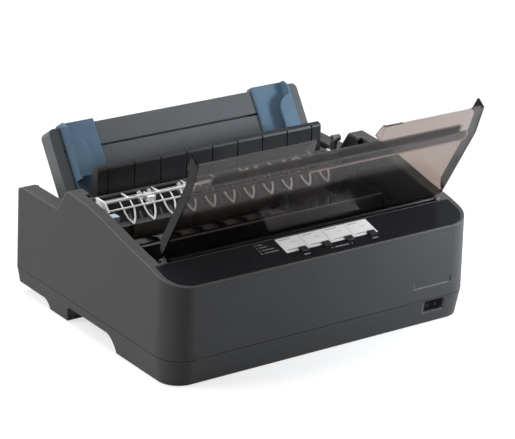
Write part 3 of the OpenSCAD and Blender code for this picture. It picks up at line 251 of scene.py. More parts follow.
def moulded(name, colour, rough, grain=0.5, depth=0.02, mottle=0.06, edge=0.4,
            specular=0.3, edge_radius=0.6, edge_light=2.4, seam=None):
    """grain, depth, edge_radius and the seam's two heights are in mm; edge paints a rim highlight, seam a
    gap shade.
    """
    made, tree, shader, where = new_material(name)
    normal, near_edge = edge_mask(tree, edge_radius * MM)
    fine = noise(tree, where, 1 / (grain * MM), 2)
    broad = noise(tree, where, MOTTLE_NOISE, 4)
    streaks = noise(tree, stretched(tree, where, SCUFF_STRETCH), 1, 2)
    scuff = ranged(tree, streaks, 0, 0.05, 0.62, 0.74)
    base = mixed(tree, ranged(tree, broad, 0, 1), scaled(colour, 1 - mottle), scaled(colour, 1 + mottle))
    speck = mixed(tree, ranged(tree, fine, 0, 0.2), base, scaled(colour, 1.3))
    # Painted highlight on the rims, mixed with the real scuffs.
    scuff_and_edge_highlight = worked(tree, "MAXIMUM", worked(tree, "MULTIPLY", near_edge, edge), scuff)
    finished = mixed(tree, scuff_and_edge_highlight, speck, scaled(colour, edge_light))
    # Painted shade in the gap where the upper and the lower case meet.
    if seam:
        height = tree.nodes.new("ShaderNodeSeparateXYZ")
        join(tree, where, height.inputs["Vector"])
        gap_shade = inside(tree, height.outputs["Z"], seam[0], seam[1], SEAM_SOFT)
        finished = mixed(tree, gap_shade, finished, scaled(colour, SEAM_SHADE))
    join(tree, finished, shader.inputs["Base Color"])
    join(tree, ranged(tree, broad, rough - 0.05, rough + 0.06), shader.inputs["Roughness"])
    join(tree, bumped(tree, fine, depth * MM, normal), shader.inputs["Normal"])
    shader.inputs["Specular IOR Level"].default_value = specular
    return made


print("moulded plastic ready")

# %% [markdown]
# ## Metal
# The frames are zinc-coated sheet with faint blotches of zinc crystal, and the bars are turned or
# drawn, so their fine lines run one way. The same noise drives the lines in the colour, the
# roughness and the bump, because on a real bar they are the same scratches.

# %% Metal
METAL_EDGE = 0.35


def drawn_metal(name, colour, rough, along=(6, 900, 900), spangle=0.12, depth=0.004, metallic=1.0):
    """along stretches the lines: the smallest number is the way that they run."""
    made, tree, shader, where = new_material(name)
    normal, near_edge = edge_mask(tree, METAL_EDGE * MM)
    lines = noise(tree, stretched(tree, where, along), 1, 3)
    blotch = noise(tree, where, 60, 4)
    dark, pale = scaled(colour, 1 - spangle), scaled(colour, 1 + spangle)
    base = mixed(tree, ranged(tree, blotch, 0, 1), dark, pale)
    lined = mixed(tree, ranged(tree, lines, 0, 0.35), base, scaled(colour, 0.72))
    rubbed = mixed(tree, worked(tree, "MULTIPLY", near_edge, 0.4), lined, scaled(colour, 1.6))
    join(tree, rubbed, shader.inputs["Base Color"])
    join(tree, ranged(tree, lines, rough - 0.08, rough + 0.12), shader.inputs["Roughness"])
    join(tree, bumped(tree, lines, depth * MM, normal), shader.inputs["Normal"])
    shader.inputs["Metallic"].default_value = metallic
    return made


print("metal ready")

# %% [markdown]
# ## Smoked cover
# The cover is a tinted sheet. Seen straight through its two millimetres it lets about half of the
# light pass, but along an edge the light has a longer way and comes out nearly black. Volume
# absorption does exactly this, where a tint on the surface alone would make every wall equally
# pale. On top of it, the side walls and the rolled hinge edge are painted nearly black, and a band
# along the crease is painted dark: painted shade where the sheet is seen edge on. A mask finds them
# in the cover's own directions: across it, and up its slope from the hinge. The upper part is
# faintly frosted, so a little of its light scatters there, and more on the lip. The sheet itself
# mirrors very little, which is why its index is low: the coat alone gives the gloss.
# The plain lengths below are in millimetres.

# %% Where the cover lies
COVER_OPEN = math.radians(120.1)
COVER_HINGE = Vector((CASE_X, CASE_Y - 96.0 * MM, 110.0 * MM))
COVER_UP = Vector((0, math.cos(COVER_OPEN), math.sin(COVER_OPEN)))
COVER_HALF, WALL_THICK, HINGE_EDGE = 162.0, 2.4, 3.4
BAND_FROM, BAND_TO, BAND_HALF = 97.5, 106.0, 141.0
FROST = 0.03
FROST_FROM, FROST_FULL = 60, 64
LIP_FROM, LIP_FULL = 93, 95


def wall_crease_and_frost_masks(tree, where):
    """Masks of the side walls with the hinge edge and of the crease band, where shade is painted, and of the
    frost.
    """
    from_hinge = tree.nodes.new("ShaderNodeVectorMath")
    from_hinge.operation = "SUBTRACT"
    join(tree, where, from_hinge.inputs[0])
    from_hinge.inputs[1].default_value = COVER_HINGE
    lengths = []
    for direction in (Vector((1, 0, 0)), COVER_UP):
        along = tree.nodes.new("ShaderNodeVectorMath")
        along.operation = "DOT_PRODUCT"
        join(tree, from_hinge.outputs["Vector"], along.inputs[0])
        along.inputs[1].default_value = direction
        lengths.append(along.outputs["Value"])
    across = worked(tree, "ABSOLUTE", lengths[0], 0.0)
    side = inside(tree, across, COVER_HALF - WALL_THICK, COVER_HALF + 5)
    wall_shade = worked(tree, "MAXIMUM", side, inside(tree, lengths[1], -8, HINGE_EDGE, 0.6))
    band_length = inside(tree, across, -5, BAND_HALF, 2.5)
    crease_shade = worked(tree, "MULTIPLY", inside(tree, lengths[1], BAND_FROM, BAND_TO, 1.0), band_length)
    frost = ranged(tree, lengths[1], 0, FROST, FROST_FROM * MM, FROST_FULL * MM)
    lip = ranged(tree, lengths[1], 0, FROST, LIP_FROM * MM, LIP_FULL * MM)
    return wall_shade, crease_shade, worked(tree, "ADD", frost, lip)


print("cover stands open at", round(math.degrees(COVER_OPEN), 1), "degrees")

# %% Smoked clear plastic
COVER_INDEX = 1.12
# Painted shade: the colours of the crease band and of the side walls with the hinge edge.
CREASE_SHADE_COLOUR = (0.06, 0.052, 0.046, 1)
WALL_SHADE_COLOUR = (0.030, 0.029, 0.027, 1)


def smoked(name, kept_colour, density, rough, coat, coat_rough):
    """kept_colour and density, per metre, say how much light each bit of the way takes."""
    made, tree, shader, where = new_material(name)
    haze = noise(tree, where, 40, 4)
    wall_shade, crease_shade, frost = wall_crease_and_frost_masks(tree, where)
    clear = mixed(tree, ranged(tree, haze, 0, 1), grey(0.95), grey(0.99))
    # The crease band and the walls get their painted shade here.
    crease_shaded = mixed(tree, crease_shade, clear, CREASE_SHADE_COLOUR)
    join(tree, mixed(tree, wall_shade, crease_shaded, WALL_SHADE_COLOUR), shader.inputs["Base Color"])
    join(tree, ranged(tree, haze, rough, rough + 0.02), shader.inputs["Roughness"])
    join(tree, bumped(tree, noise(tree, where, 14, 2), 0.02 * MM), shader.inputs["Normal"])
    join(tree, worked(tree, "SUBTRACT", 1.0, frost), shader.inputs["Transmission Weight"])
    shader.inputs["IOR"].default_value = COVER_INDEX
    shader.inputs["Coat Weight"].default_value = coat
    shader.inputs["Coat Roughness"].default_value = coat_rough
    taken = add_node(tree, "ShaderNodeVolumeAbsorption", Color=kept_colour + (1,), Density=density)
    join(tree, taken.outputs["Volume"], tree.nodes["Material Output"].inputs["Volume"])
    return made


print("smoked plastic ready")

# %% [markdown]
# The tension unit over the platen is white plastic. It is thin, so a part of the light passes
# through it, and its edges look less hard than painted ones would.

# %% Milky plastic
PLASTIC_INDEX = 1.46


def milky(name, colour, rough, clear):
    """White plastic thin enough to let a part of the light through."""
    made, tree, shader, where = new_material(name)
    haze = noise(tree, where, 60, 3)
    tint = mixed(tree, ranged(tree, haze, 0, 1), scaled(colour, 0.96), scaled(colour, 1.03))
    join(tree, tint, shader.inputs["Base Color"])
    join(tree, ranged(tree, haze, rough, rough + 0.08), shader.inputs["Roughness"])
    join(tree, bumped(tree, haze, 0.01 * MM), shader.inputs["Normal"])
    shader.inputs["Transmission Weight"].default_value = clear
    shader.inputs["IOR"].default_value = PLASTIC_INDEX
    return made


print("milky plastic ready")

# %% [markdown]
# ## Circuit board and printed film
# Solder mask is a green lacquer over copper tracks, which lift it a little. A Brick pattern gives a
# grid of such lines. The panel, the labels and the ink are smooth films: their ripple is like the
# skin of an orange, and some of them carry a clear coat.

# %% Board and film
def solder_mask(name, colour):
    """Lacquer whose raised tracks are lighter than the ground between them."""
    made, tree, shader, where = new_material(name)
    tracks = add_node(tree, "ShaderNodeTexBrick", Scale=60.0)
    tracks.inputs["Mortar Size"].default_value = 0.03
    tracks.inputs["Color1"].default_value = scaled(colour, 0.9)
    tracks.inputs["Color2"].default_value = scaled(colour, 1.1)
    tracks.inputs["Mortar"].default_value = scaled(colour, 1.9)
    join(tree, where, tracks.inputs["Vector"])
    cloud = ranged(tree, noise(tree, where, 30), 0, 0.25)
    join(tree, mixed(tree, cloud, tracks.outputs["Color"], scaled(colour, 0.6)), shader.inputs["Base Color"])
    join(tree, bumped(tree, tracks.outputs["Fac"], 0.04 * MM), shader.inputs["Normal"])
    shader.inputs["Roughness"].default_value = 0.32
    return made


def film(name, colour, rough=0.3, coat=0.0, orange_peel=0.012, specular=0.5):
    """orange_peel, the depth of the ripple, is in millimetres."""
    made, tree, shader, where = new_material(name)
    peel = noise(tree, where, 260, 2)
    broad = noise(tree, where, 22, 3)
    tint = mixed(tree, ranged(tree, broad, 0, 1), scaled(colour, 0.94), scaled(colour, 1.06))
    join(tree, tint, shader.inputs["Base Color"])
    join(tree, ranged(tree, broad, rough - 0.03, rough + 0.05), shader.inputs["Roughness"])
    join(tree, bumped(tree, peel, orange_peel * MM), shader.inputs["Normal"])
    shader.inputs["Specular IOR Level"].default_value = specular
    shader.inputs["Coat Weight"].default_value = coat
    shader.inputs["Coat Roughness"].default_value = 0.2
    return made


print("board and film ready")

# %% [markdown]
# ## The finishes of this printer
# Each piece of the record names a material slot. The outer case is a neutral dark grey, the panel
# film is nearly black, the sheet guide is a cooler grey and its two edge guides are blue. The
# colours are linear values, so 0.06 already reads as a mid-dark grey. The upper and the lower case
# meet in a thin gap, and the seam paints the shade in it as a dark line between two heights.

# %% Finishes of the case and the panel
FINISHES = {}
PARTING_LINE = (26.3, 27.1)


def add_finish(kind, name, colour, rough, **more):
    """Makes one finish and keeps it under the name of its material slot."""
    FINISHES[name] = kind(name, colour, rough, **more)


# The case carries a painted highlight on its rims and painted shade along its parting line.
add_finish(moulded, "case_grey", (0.060, 0.0601, 0.0608), 0.5, grain=0.55, depth=0.03, edge=1.0,
           specular=0.1, edge_radius=1.6, edge_light=3.2, seam=PARTING_LINE)
add_finish(moulded, "rubber_black", (0.012, 0.012, 0.012), 0.8, grain=0.7, depth=0.03, edge=0.1)
add_finish(film, "panel_dark", (0.0060, 0.0068, 0.0098), 0.3, specular=0.25)
add_finish(film, "label_pale", (0.78, 0.785, 0.79), 0.4, coat=0.1)
add_finish(film, "lamp_green", (0.10, 0.22, 0.11), 0.2, coat=0.5)
add_finish(moulded, "key_grey", (0.020, 0.021, 0.025), 0.42)
add_finish(moulded, "bezel_grey", (0.030, 0.030, 0.031), 0.45, edge=1.0)
add_finish(moulded, "switch_black", (0.003, 0.003, 0.0033), 0.4, grain=0.8, depth=0.008, edge=1.0,
           specular=0.05)
FINISHES["smoke_clear"] = smoked("smoke_clear", (0.28, 0.13, 0.06), density=450, rough=0.03,
                                 coat=0.3, coat_rough=0.25)
# Nearly black: painted shade for the inside of the print well.
well_black = moulded("well_black", (0.013, 0.013, 0.013), 0.55)
print("case finishes:", ", ".join(FINISHES))

# %% Finishes of the sheet guide and the paper path
add_finish(moulded, "guide_grey", (0.090, 0.097, 0.102), 0.5, edge=1.0, edge_radius=0.9)
add_finish(moulded, "edge_blue", (0.088, 0.148, 0.210), 0.38, grain=0.8, depth=0.01, edge=0.8)
add_finish(moulded, "comb_grey", (0.016, 0.0168, 0.019), 0.4, edge=0.9, edge_radius=0.9)
add_finish(moulded, "chute_black", (0.010, 0.010, 0.011), 0.4)
add_finish(moulded, "rail_grey", (0.10, 0.105, 0.11), 0.42)
# The platen is dark rubber; its brown, brighter colour is a painted sheen of the smoked cover's amber light.
add_finish(moulded, "platen_rubber", (0.060, 0.045, 0.032), 0.3, grain=0.4, depth=0.004, edge=0.1,
           specular=0.5)
add_finish(moulded, "knob_grey", (0.040, 0.040, 0.041), 0.5)
add_finish(milky, "tension_white", (0.96, 0.96, 0.96), 0.22, clear=0.15)
add_finish(moulded, "wheel_white", (0.74, 0.74, 0.72), 0.35, grain=0.8, depth=0.008, mottle=0.03,
           edge=0.0)
add_finish(moulded, "tractor_black", (0.016, 0.017, 0.018), 0.42)
add_finish(moulded, "flap_grey", (0.035, 0.038, 0.042), 0.42)
add_finish(moulded, "lever_grey", (0.13, 0.135, 0.14), 0.4)
add_finish(moulded, "lever_blue", (0.38, 0.50, 0.60), 0.4, edge=0.1)
print(len(FINISHES), "finishes so far")

# %% Finishes of the mechanism
# The zinc frames are darker than bare zinc: their colour paints the shade inside the case.
add_finish(drawn_metal, "zinc_steel", (0.055, 0.055, 0.056), 0.45)
add_finish(drawn_metal, "beam_steel", (0.16, 0.16, 0.165), 0.4)
add_finish(drawn_metal, "bright_steel", (0.42, 0.42, 0.43), 0.28, along=(900, 12, 12))
add_finish(moulded, "gear_cream", (0.60, 0.58, 0.50), 0.4, grain=0.8, depth=0.008, mottle=0.04,
           edge=0.1)
add_finish(drawn_metal, "motor_steel", (0.10, 0.105, 0.11), 0.4, along=(12, 300, 300), metallic=0.8)
add_finish(drawn_metal, "pinion_brass", (0.55, 0.42, 0.17), 0.3, along=(700, 30, 30))
add_finish(moulded, "carriage_black", (0.016, 0.016, 0.017), 0.45)
add_finish(drawn_metal, "head_alloy", (0.02, 0.02, 0.021), 0.45, along=(120, 120, 120), metallic=0.6)
add_finish(drawn_metal, "mask_steel", (0.16, 0.17, 0.18), 0.35)
add_finish(moulded, "tray_black", (0.010, 0.010, 0.011), 0.45)
add_finish(moulded, "spindle_grey", (0.085, 0.095, 0.11), 0.42)
add_finish(moulded, "belt_rubber", (0.012, 0.012, 0.012), 0.7, grain=0.6, depth=0.02, edge=0.1)
FINISHES["board_green"] = solder_mask("board_green", (0.012, 0.06, 0.022))
add_finish(drawn_metal, "unit_steel", (0.32, 0.31, 0.27), 0.4)
add_finish(moulded, "socket_black", (0.012, 0.012, 0.013), 0.35, grain=0.8, depth=0.008)
print("finishes with the mechanism:", len(FINISHES))

# %% [markdown]
# Each node now gets the finish of its own slot. The skirt round the print well shares the slot of
# the case in the record and is the same plastic; its finish is changed to nearly black, which is
# painted shade for the inside of the well.

# %% Finishes onto the nodes
slot_of = {s["node"]: s["material_slot"] for s in frame["record"]["subparts"]}
for node_name, cad_object in NODES.items():
    cad_object.data.materials.clear()
    cad_object.data.materials.append(FINISHES[slot_of[node_name]])
NODES["well_skirt"].data.materials[0] = well_black
print(len(FINISHES), "finishes on", len(NODES), "nodes")

# %% [markdown]
# ## Small things that repeat
# Screws, printed marks and belt cogs come from Geometry Nodes. A tree takes a few bare points, puts
# one copy of a small shape on each and makes the copies real mesh. Its sizes are named inputs, so
# one tree serves every size of screw. At the end the result is copied to a plain mesh and the
# modifier is gone, because the exported model keeps meshes only.

# %% Helpers for a tree
def tree_input(tree, name, kind, value):
    """Adds one named input and returns the key by which a modifier knows it."""
    made = tree.interface.new_socket(name=name, in_out="INPUT", socket_type=kind)
    if value is not None:
        made.default_value = value
    return made.identifier


def new_tree(name, sizes):
    """A tree with bare points going in, named sizes and a finish; returns it with both its ends."""
    tree = bpy.data.node_groups.new(name, "GeometryNodeTree")
    tree.interface.new_socket(name="Points", in_out="INPUT", socket_type="NodeSocketGeometry")
    names = {n: tree_input(tree, n, kind, value) for n, (kind, value) in sizes.items()}
    names["Finish"] = tree_input(tree, "Finish", "NodeSocketMaterial", None)
    tree.interface.new_socket(name="Mesh", in_out="OUTPUT", socket_type="NodeSocketGeometry")
    tree["input_names"] = json.dumps(names)
    return tree, tree.nodes.new("NodeGroupInput"), tree.nodes.new("NodeGroupOutput")


def end_tree(tree, source, instances, out):
    """Realize Instances and Set Material, then the output."""
    real = tree.nodes.new("GeometryNodeRealizeInstances")
    paint = tree.nodes.new("GeometryNodeSetMaterial")
    join(tree, instances, real.inputs["Geometry"])
    join(tree, real.outputs["Geometry"], paint.inputs["Geometry"])
    join(tree, source.outputs["Finish"], paint.inputs["Material"])
    join(tree, paint.outputs["Geometry"], out.inputs["Mesh"])


def named_vector(tree, name):
    """The vector that each point carries under this name."""
    made = tree.nodes.new("GeometryNodeInputNamedAttribute")
    made.data_type = "FLOAT_VECTOR"
    made.inputs["Name"].default_value = name
    return made.outputs["Attribute"]


print("tree helpers ready")

# %% [markdown]
# A piece starts as a mesh of bare points, and each point can carry vectors of its own, such as the
# way that its screw faces. The piece then rides on a body, so that it moves with it.

# %% Helpers for the points
def case_point(x, y, z):
    """A place given in millimetres about the middle of the case, as metres in the part's frame."""
    return Vector((x * MM + CASE_X, y * MM + CASE_Y, z * MM))


def grown(name, tree, points, vectors, sizes, finish, body, edges=()):
    """Runs the tree on points, keeps the plain mesh and lets it ride on a body."""
    mesh = bpy.data.meshes.new(name)
    mesh.from_pydata([tuple(p) for p in points], list(edges), [])
    for attribute_name, rows in vectors.items():
        attribute = mesh.attributes.new(attribute_name, "FLOAT_VECTOR", "POINT")
        attribute.data.foreach_set("vector", [v for row in rows for v in row])
    made = bpy.data.objects.new(name, mesh)
    SCENE.collection.objects.link(made)
    repeat = made.modifiers.new("repeat", "NODES")
    names = json.loads(tree["input_names"])
    repeat.node_group = tree
    for size_name, value in sizes.items():
        repeat[names[size_name]] = value
    repeat[names["Finish"]] = FINISHES[finish]
    bpy.context.view_layer.update()
    seen_now = made.evaluated_get(bpy.context.evaluated_depsgraph_get())
    plain = bpy.data.meshes.new_from_object(seen_now)
    made.modifiers.clear()
    made.data = plain
    plain.name = name
    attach(made, body)
    print(name, "on", body + ":", len(points), "points,", len(plain.polygons), "faces")
    return made


print("middle of the panel's front edge:", tuple(round(v, 4) for v in case_point(0, -137.5, 98)))

# %% [markdown]
# Pan-head screws with a cross recess hold the motors, the frames and the sockets. The head is a
# short cylinder, and two thin blocks cut the cross out of it. Each point carries the way that its
# screw faces, and Align Rotation turns the copy's own Z that way.

# %% Screw tree
CUT_LIFT = 0.6
screw_tree, source, out = new_tree("pan_head_screws", {
    "Head radius": ("NodeSocketFloat", 2.6 * MM),
    "Head height": ("NodeSocketFloat", 1.2 * MM),
    "Recess width": ("NodeSocketFloat", 0.7 * MM),
})
head = screw_tree.nodes.new("GeometryNodeMeshCylinder")
head.inputs["Vertices"].default_value = 20
join(screw_tree, source.outputs["Head radius"], head.inputs["Radius"])
join(screw_tree, source.outputs["Head height"], head.inputs["Depth"])
cutters = screw_tree.nodes.new("GeometryNodeJoinGeometry")
raised = screw_tree.nodes.new("ShaderNodeCombineXYZ")
cut_height = worked(screw_tree, "MULTIPLY", source.outputs["Head height"], CUT_LIFT)
join(screw_tree, cut_height, raised.inputs["Z"])
for wide, deep in (("Recess width", "Head radius"), ("Head radius", "Recess width")):
    blade = screw_tree.nodes.new("GeometryNodeMeshCube")
    size = screw_tree.nodes.new("ShaderNodeCombineXYZ")
    join(screw_tree, source.outputs[wide], size.inputs["X"])
    join(screw_tree, source.outputs[deep], size.inputs["Y"])
    join(screw_tree, source.outputs["Head height"], size.inputs["Z"])
    join(screw_tree, size.outputs["Vector"], blade.inputs["Size"])
    lift = screw_tree.nodes.new("GeometryNodeTransform")
    join(screw_tree, raised.outputs["Vector"], lift.inputs["Translation"])
    join(screw_tree, blade.outputs["Mesh"], lift.inputs["Geometry"])
    join(screw_tree, lift.outputs["Geometry"], cutters.inputs["Geometry"])
recess = screw_tree.nodes.new("GeometryNodeMeshBoolean")
recess.operation = "DIFFERENCE"
join(screw_tree, head.outputs["Mesh"], recess.inputs["Mesh 1"])
join(screw_tree, cutters.outputs["Geometry"], recess.inputs["Mesh 2"])
facing = screw_tree.nodes.new("FunctionNodeAlignRotationToVector")
facing.axis = "Z"
join(screw_tree, named_vector(screw_tree, "facing"), facing.inputs["Vector"])
copies = screw_tree.nodes.new("GeometryNodeInstanceOnPoints")
join(screw_tree, source.outputs["Points"], copies.inputs["Points"])
join(screw_tree, recess.outputs["Mesh"], copies.inputs["Instance"])
join(screw_tree, facing.outputs["Rotation"], copies.inputs["Rotation"])
end_tree(screw_tree, source, copies.outputs["Instances"], out)
print("screw tree:", len(screw_tree.nodes), "nodes")

# %% [markdown]
# Each list holds places in millimetres, and with each place the way that its screw faces.

# %% Screws of the motors, the frames and the sockets
LEFT, FRONT, BACK, UP = (-1, 0, 0), (0, -1, 0), (0, 1, 0), (0, 0, 1)
FEED_MOTOR_X, FEED_MOTOR_Y, FEED_MOTOR_Z = -142.3, 40, 40
DRIVE_MOTOR_X, DRIVE_MOTOR_Y, DRIVE_MOTOR_Z = -118, -16.5, 42
FRAME_X, FRAME_Z = 134, 24.2
SOCKET_Y, SOCKET_Z = 137.3, 35.3
motor_screws = [((FEED_MOTOR_X, FEED_MOTOR_Y + d, FEED_MOTOR_Z), LEFT) for d in (-19.5, 19.5)]
frame_screws = [((s * FRAME_X, y, FRAME_Z), UP) for s in (-1, 1) for y in (67, 83)]
bracket_screws = [((DRIVE_MOTOR_X + d, DRIVE_MOTOR_Y, DRIVE_MOTOR_Z + e), FRONT)
                  for d, e in ((-12, 12), (12, 12), (12, -12))]
inner_screws = motor_screws + frame_screws + bracket_screws
grown("inner_screws", screw_tree, [case_point(*p) for p, _ in inner_screws],
      {"facing": [f for _, f in inner_screws]},
      {"Head radius": 2.4 * MM, "Head height": 1.1 * MM}, "bright_steel", "case")
socket_screws = [((x, SOCKET_Y, SOCKET_Z), BACK) for x in (-104.2, -48.2)]
grown("socket_screws", screw_tree, [case_point(*p) for p, _ in socket_screws],
      {"facing": [f for _, f in socket_screws]},
      {"Head radius": 1.7 * MM, "Head height": 0.9 * MM, "Recess width": 0.5 * MM}, "bright_steel", "case")

# %% [markdown]
# The printed marks on the panel are thin plates of ink. They are plain dashes that say nothing, on
# the places where such a panel has its words. One tree puts a flat block on each point, turned with
# the surface and as long and wide as the point's own size says.

# %% Tree for printed marks
mark_tree, source, out = new_tree("printed_marks", {
    "Turn": ("NodeSocketRotation", None),
    "Thickness": ("NodeSocketFloat", 0.05 * MM),
})
block = mark_tree.nodes.new("GeometryNodeMeshCube")
size = mark_tree.nodes.new("ShaderNodeCombineXYZ")
size.inputs["X"].default_value = 1.0
size.inputs["Y"].default_value = 1.0
join(mark_tree, source.outputs["Thickness"], size.inputs["Z"])
join(mark_tree, size.outputs["Vector"], block.inputs["Size"])
copies = mark_tree.nodes.new("GeometryNodeInstanceOnPoints")
join(mark_tree, source.outputs["Points"], copies.inputs["Points"])
join(mark_tree, block.outputs["Mesh"], copies.inputs["Instance"])
join(mark_tree, source.outputs["Turn"], copies.inputs["Rotation"])
join(mark_tree, named_vector(mark_tree, "size"), copies.inputs["Scale"])
end_tree(mark_tree, source, copies.outputs["Instances"], out)
print("mark tree:", len(mark_tree.nodes), "nodes")

# %% Inks
INKS = {
    "ink_pale": (0.40, 0.41, 0.41),
    "ink_green": (0.25, 0.27, 0.25),
    "ink_dim": (0.035, 0.035, 0.036),
    "ink_grey": (0.16, 0.16, 0.17),
    "ink_warm": (0.62, 0.42, 0.35),
}
for ink_name, ink_colour in INKS.items():
    add_finish(film, ink_name, ink_colour, 0.5)
print("inks:", ", ".join(INKS))

# %% [markdown]
# The panel slopes up toward the back, so a mark is placed by how far it lies across the panel, up
# its slope and out of its face. The labels stand a tenth of a millimetre above the film.

# %% Places on the panel
PANEL_TILT = math.radians(15.6)
PANEL_EDGE = (-137.5, 98.0)
FILM_TOP = -0.13
LABEL_TOP = -0.03
FIRST_LABEL = -38.2
LABEL_WIDTH = 26.5
LAMP_MARK_X, LAMP_LINE, LAMP_STEP = -57.6, 23.0, 4.2
KEY_LINE, KEY_FROM_LABEL = 9.4, 7.6


def panel_point(x, up, out_of):
    """A place on the panel: x across, up the slope from its front edge, out of its face."""
    y = PANEL_EDGE[0] + up * math.cos(PANEL_TILT) - out_of * math.sin(PANEL_TILT)
    z = PANEL_EDGE[1] + up * math.sin(PANEL_TILT) + out_of * math.cos(PANEL_TILT)
    return case_point(x, y, z)


def printed(name, bars, out_of, finish):
    """bars are (x, up, length, width) in millimetres."""
    places = [panel_point(x, up, out_of) for x, up, _, _ in bars]
    sizes = [(length * MM, width * MM, 1) for _, _, length, width in bars]
    return grown(name, mark_tree, places, {"size": sizes}, {"Turn": (PANEL_TILT, 0, 0)}, finish, "case")


key_middle = [FIRST_LABEL + (i + 1) * LABEL_WIDTH - KEY_FROM_LABEL for i in range(4)]
print("keys at x =", [round(x, 1) for x in key_middle], "mm")

# %% [markdown]
# Rows of dashes stand beside the lamps, under the keys and on the labels. A dash is a length and a
# width, and every row has its own step from one dash to the next.

# %% Printed marks
LAMP_DASH, LAMP_DASH_STEP = (2.1, 1.2), 2.7
KEY_DASH, KEY_DOT, KEY_DOT_STEP = (1.9, 1.1), (1.3, 1.3), 11.5
LABEL_DASH, LABEL_INSET = (1.9, 0.9), 4.0
LABEL_UPPER, LABEL_LOWER, LABEL_WARM = 35.2, 20.0, 29.5
WARM_DASH, WARM_INSET, WARM_STEP = (1.8, 0.8), 14.0, 2.2
DASH_STEP = 2.3
lamp_bars = []
for i, dash_count in enumerate((6, 5, 3, 2)):
    up = LAMP_LINE + LAMP_STEP * i
    lamp_bars += [(LAMP_MARK_X + LAMP_DASH_STEP * k, up, *LAMP_DASH) for k in range(dash_count)]
key_bars = [(key_middle[k] + d, KEY_LINE, *KEY_DASH) for k in (0, 3) for d in (-2.9, -0.6, 1.7)]
between_keys = (key_middle[1] + key_middle[2]) / 2
key_bars += [(between_keys + DASH_STEP * k, KEY_LINE, *KEY_DASH) for k in range(-3, 4)]
key_bars += [(between_keys + KEY_DOT_STEP * k, KEY_LINE, *KEY_DOT) for k in (-1, 1)]
label_bars, warm_bars = [], []
for i in range(4):
    left = FIRST_LABEL + i * LABEL_WIDTH
    for up, dash_count in ((LABEL_UPPER, 6 - i % 2), (LABEL_LOWER, 4)):
        label_bars += [(left + LABEL_INSET + DASH_STEP * k, up, *LABEL_DASH) for k in range(dash_count)]
    warm_bars += [(left + WARM_INSET + WARM_STEP * k, LABEL_WARM, *WARM_DASH) for k in range(3)]
printed("lamp_marks", lamp_bars, FILM_TOP, "ink_green")
printed("key_marks", key_bars, FILM_TOP, "ink_pale")
printed("label_marks", label_bars, LABEL_TOP, "ink_grey")
printed("label_marks_warm", warm_bars, LABEL_TOP, "ink_warm")

# %% [markdown]
# The rocker carries the two usual marks, a bar for on and a ring for off. The bar is one more
# printed block. The ring is a circle with a small square drawn along it, which is what Curve to
# Mesh does. Both lie on the two sloped halves of the rocker and move with it.

# %% Tree for the ring
ring_tree, source, out = new_tree("ring_mark", {
    "Turn": ("NodeSocketRotation", None),
    "Radius": ("NodeSocketFloat", 1.5 * MM),
    "Line width": ("NodeSocketFloat", 0.5 * MM),
})
circle = ring_tree.nodes.new("GeometryNodeCurvePrimitiveCircle")
circle.inputs["Resolution"].default_value = 28
join(ring_tree, source.outputs["Radius"], circle.inputs["Radius"])
section = ring_tree.nodes.new("GeometryNodeCurvePrimitiveQuadrilateral")
section.inputs["Height"].default_value = 0.08 * MM
join(ring_tree, source.outputs["Line width"], section.inputs["Width"])
drawn = ring_tree.nodes.new("GeometryNodeCurveToMesh")
join(ring_tree, circle.outputs["Curve"], drawn.inputs["Curve"])
join(ring_tree, section.outputs["Curve"], drawn.inputs["Profile Curve"])
copies = ring_tree.nodes.new("GeometryNodeInstanceOnPoints")
join(ring_tree, source.outputs["Points"], copies.inputs["Points"])
join(ring_tree, drawn.outputs["Mesh"], copies.inputs["Instance"])
join(ring_tree, source.outputs["Turn"], copies.inputs["Rotation"])
end_tree(ring_tree, source, copies.outputs["Instances"], out)
print("ring tree:", len(ring_tree.nodes), "nodes")

# %% Bar and ring on the rocker
rocker_low, rocker_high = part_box("power_rocker")
ROCKER_X, ROCKER_Z = 128.0, (rocker_low.z + rocker_high.z) / 2 / MM
BAR_PLACE = (ROCKER_X - 5.6, -134.53, ROCKER_Z)
RING_PLACE = (ROCKER_X + 3.6, -135.09, ROCKER_Z)
BAR_SIZE = (0.5 * MM, 2.8 * MM, 1)
bar_turn = (math.radians(90), 0, math.radians(6.2))
ring_turn = (math.radians(90), 0, math.radians(-9.9))
grown("rocker_on_mark", mark_tree, [case_point(*BAR_PLACE)],
      {"size": [BAR_SIZE]}, {"Turn": bar_turn}, "ink_dim", "power_rocker")
grown("rocker_off_mark", ring_tree, [case_point(*RING_PLACE)],
      {}, {"Turn": ring_turn, "Radius": 1.2 * MM, "Line width": 0.35 * MM}, "ink_dim", "power_rocker")

# %% [markdown]
# The drive belt has cogs on its inner side. Its path is a long loop round both pulleys, so the tree
# turns a closed line into a curve, spaces points evenly along it and puts a small bar on each one,
# turned with the line. The same tree would do for any belt, because the pitch is a named input.

# %% Tree for belt cogs
cog_tree, source, out = new_tree("belt_cogs", {
    "Pitch": ("NodeSocketFloat", 2.0 * MM),
    "Cog height": ("NodeSocketFloat", 0.3 * MM),
    "Cog length": ("NodeSocketFloat", 5.4 * MM),
})
line = cog_tree.nodes.new("GeometryNodeMeshToCurve")
spaced = cog_tree.nodes.new("GeometryNodeResampleCurve")
spaced.mode = "LENGTH"
join(cog_tree, source.outputs["Points"], line.inputs["Mesh"])
join(cog_tree, line.outputs["Curve"], spaced.inputs["Curve"])
join(cog_tree, source.outputs["Pitch"], spaced.inputs["Length"])
cog = cog_tree.nodes.new("GeometryNodeMeshCube")
size = cog_tree.nodes.new("ShaderNodeCombineXYZ")
size.inputs["Z"].default_value = 1.0 * MM
join(cog_tree, source.outputs["Cog height"], size.inputs["X"])
join(cog_tree, source.outputs["Cog length"], size.inputs["Y"])
join(cog_tree, size.outputs["Vector"], cog.inputs["Size"])
along = cog_tree.nodes.new("FunctionNodeAlignRotationToVector")
along.axis = "Z"
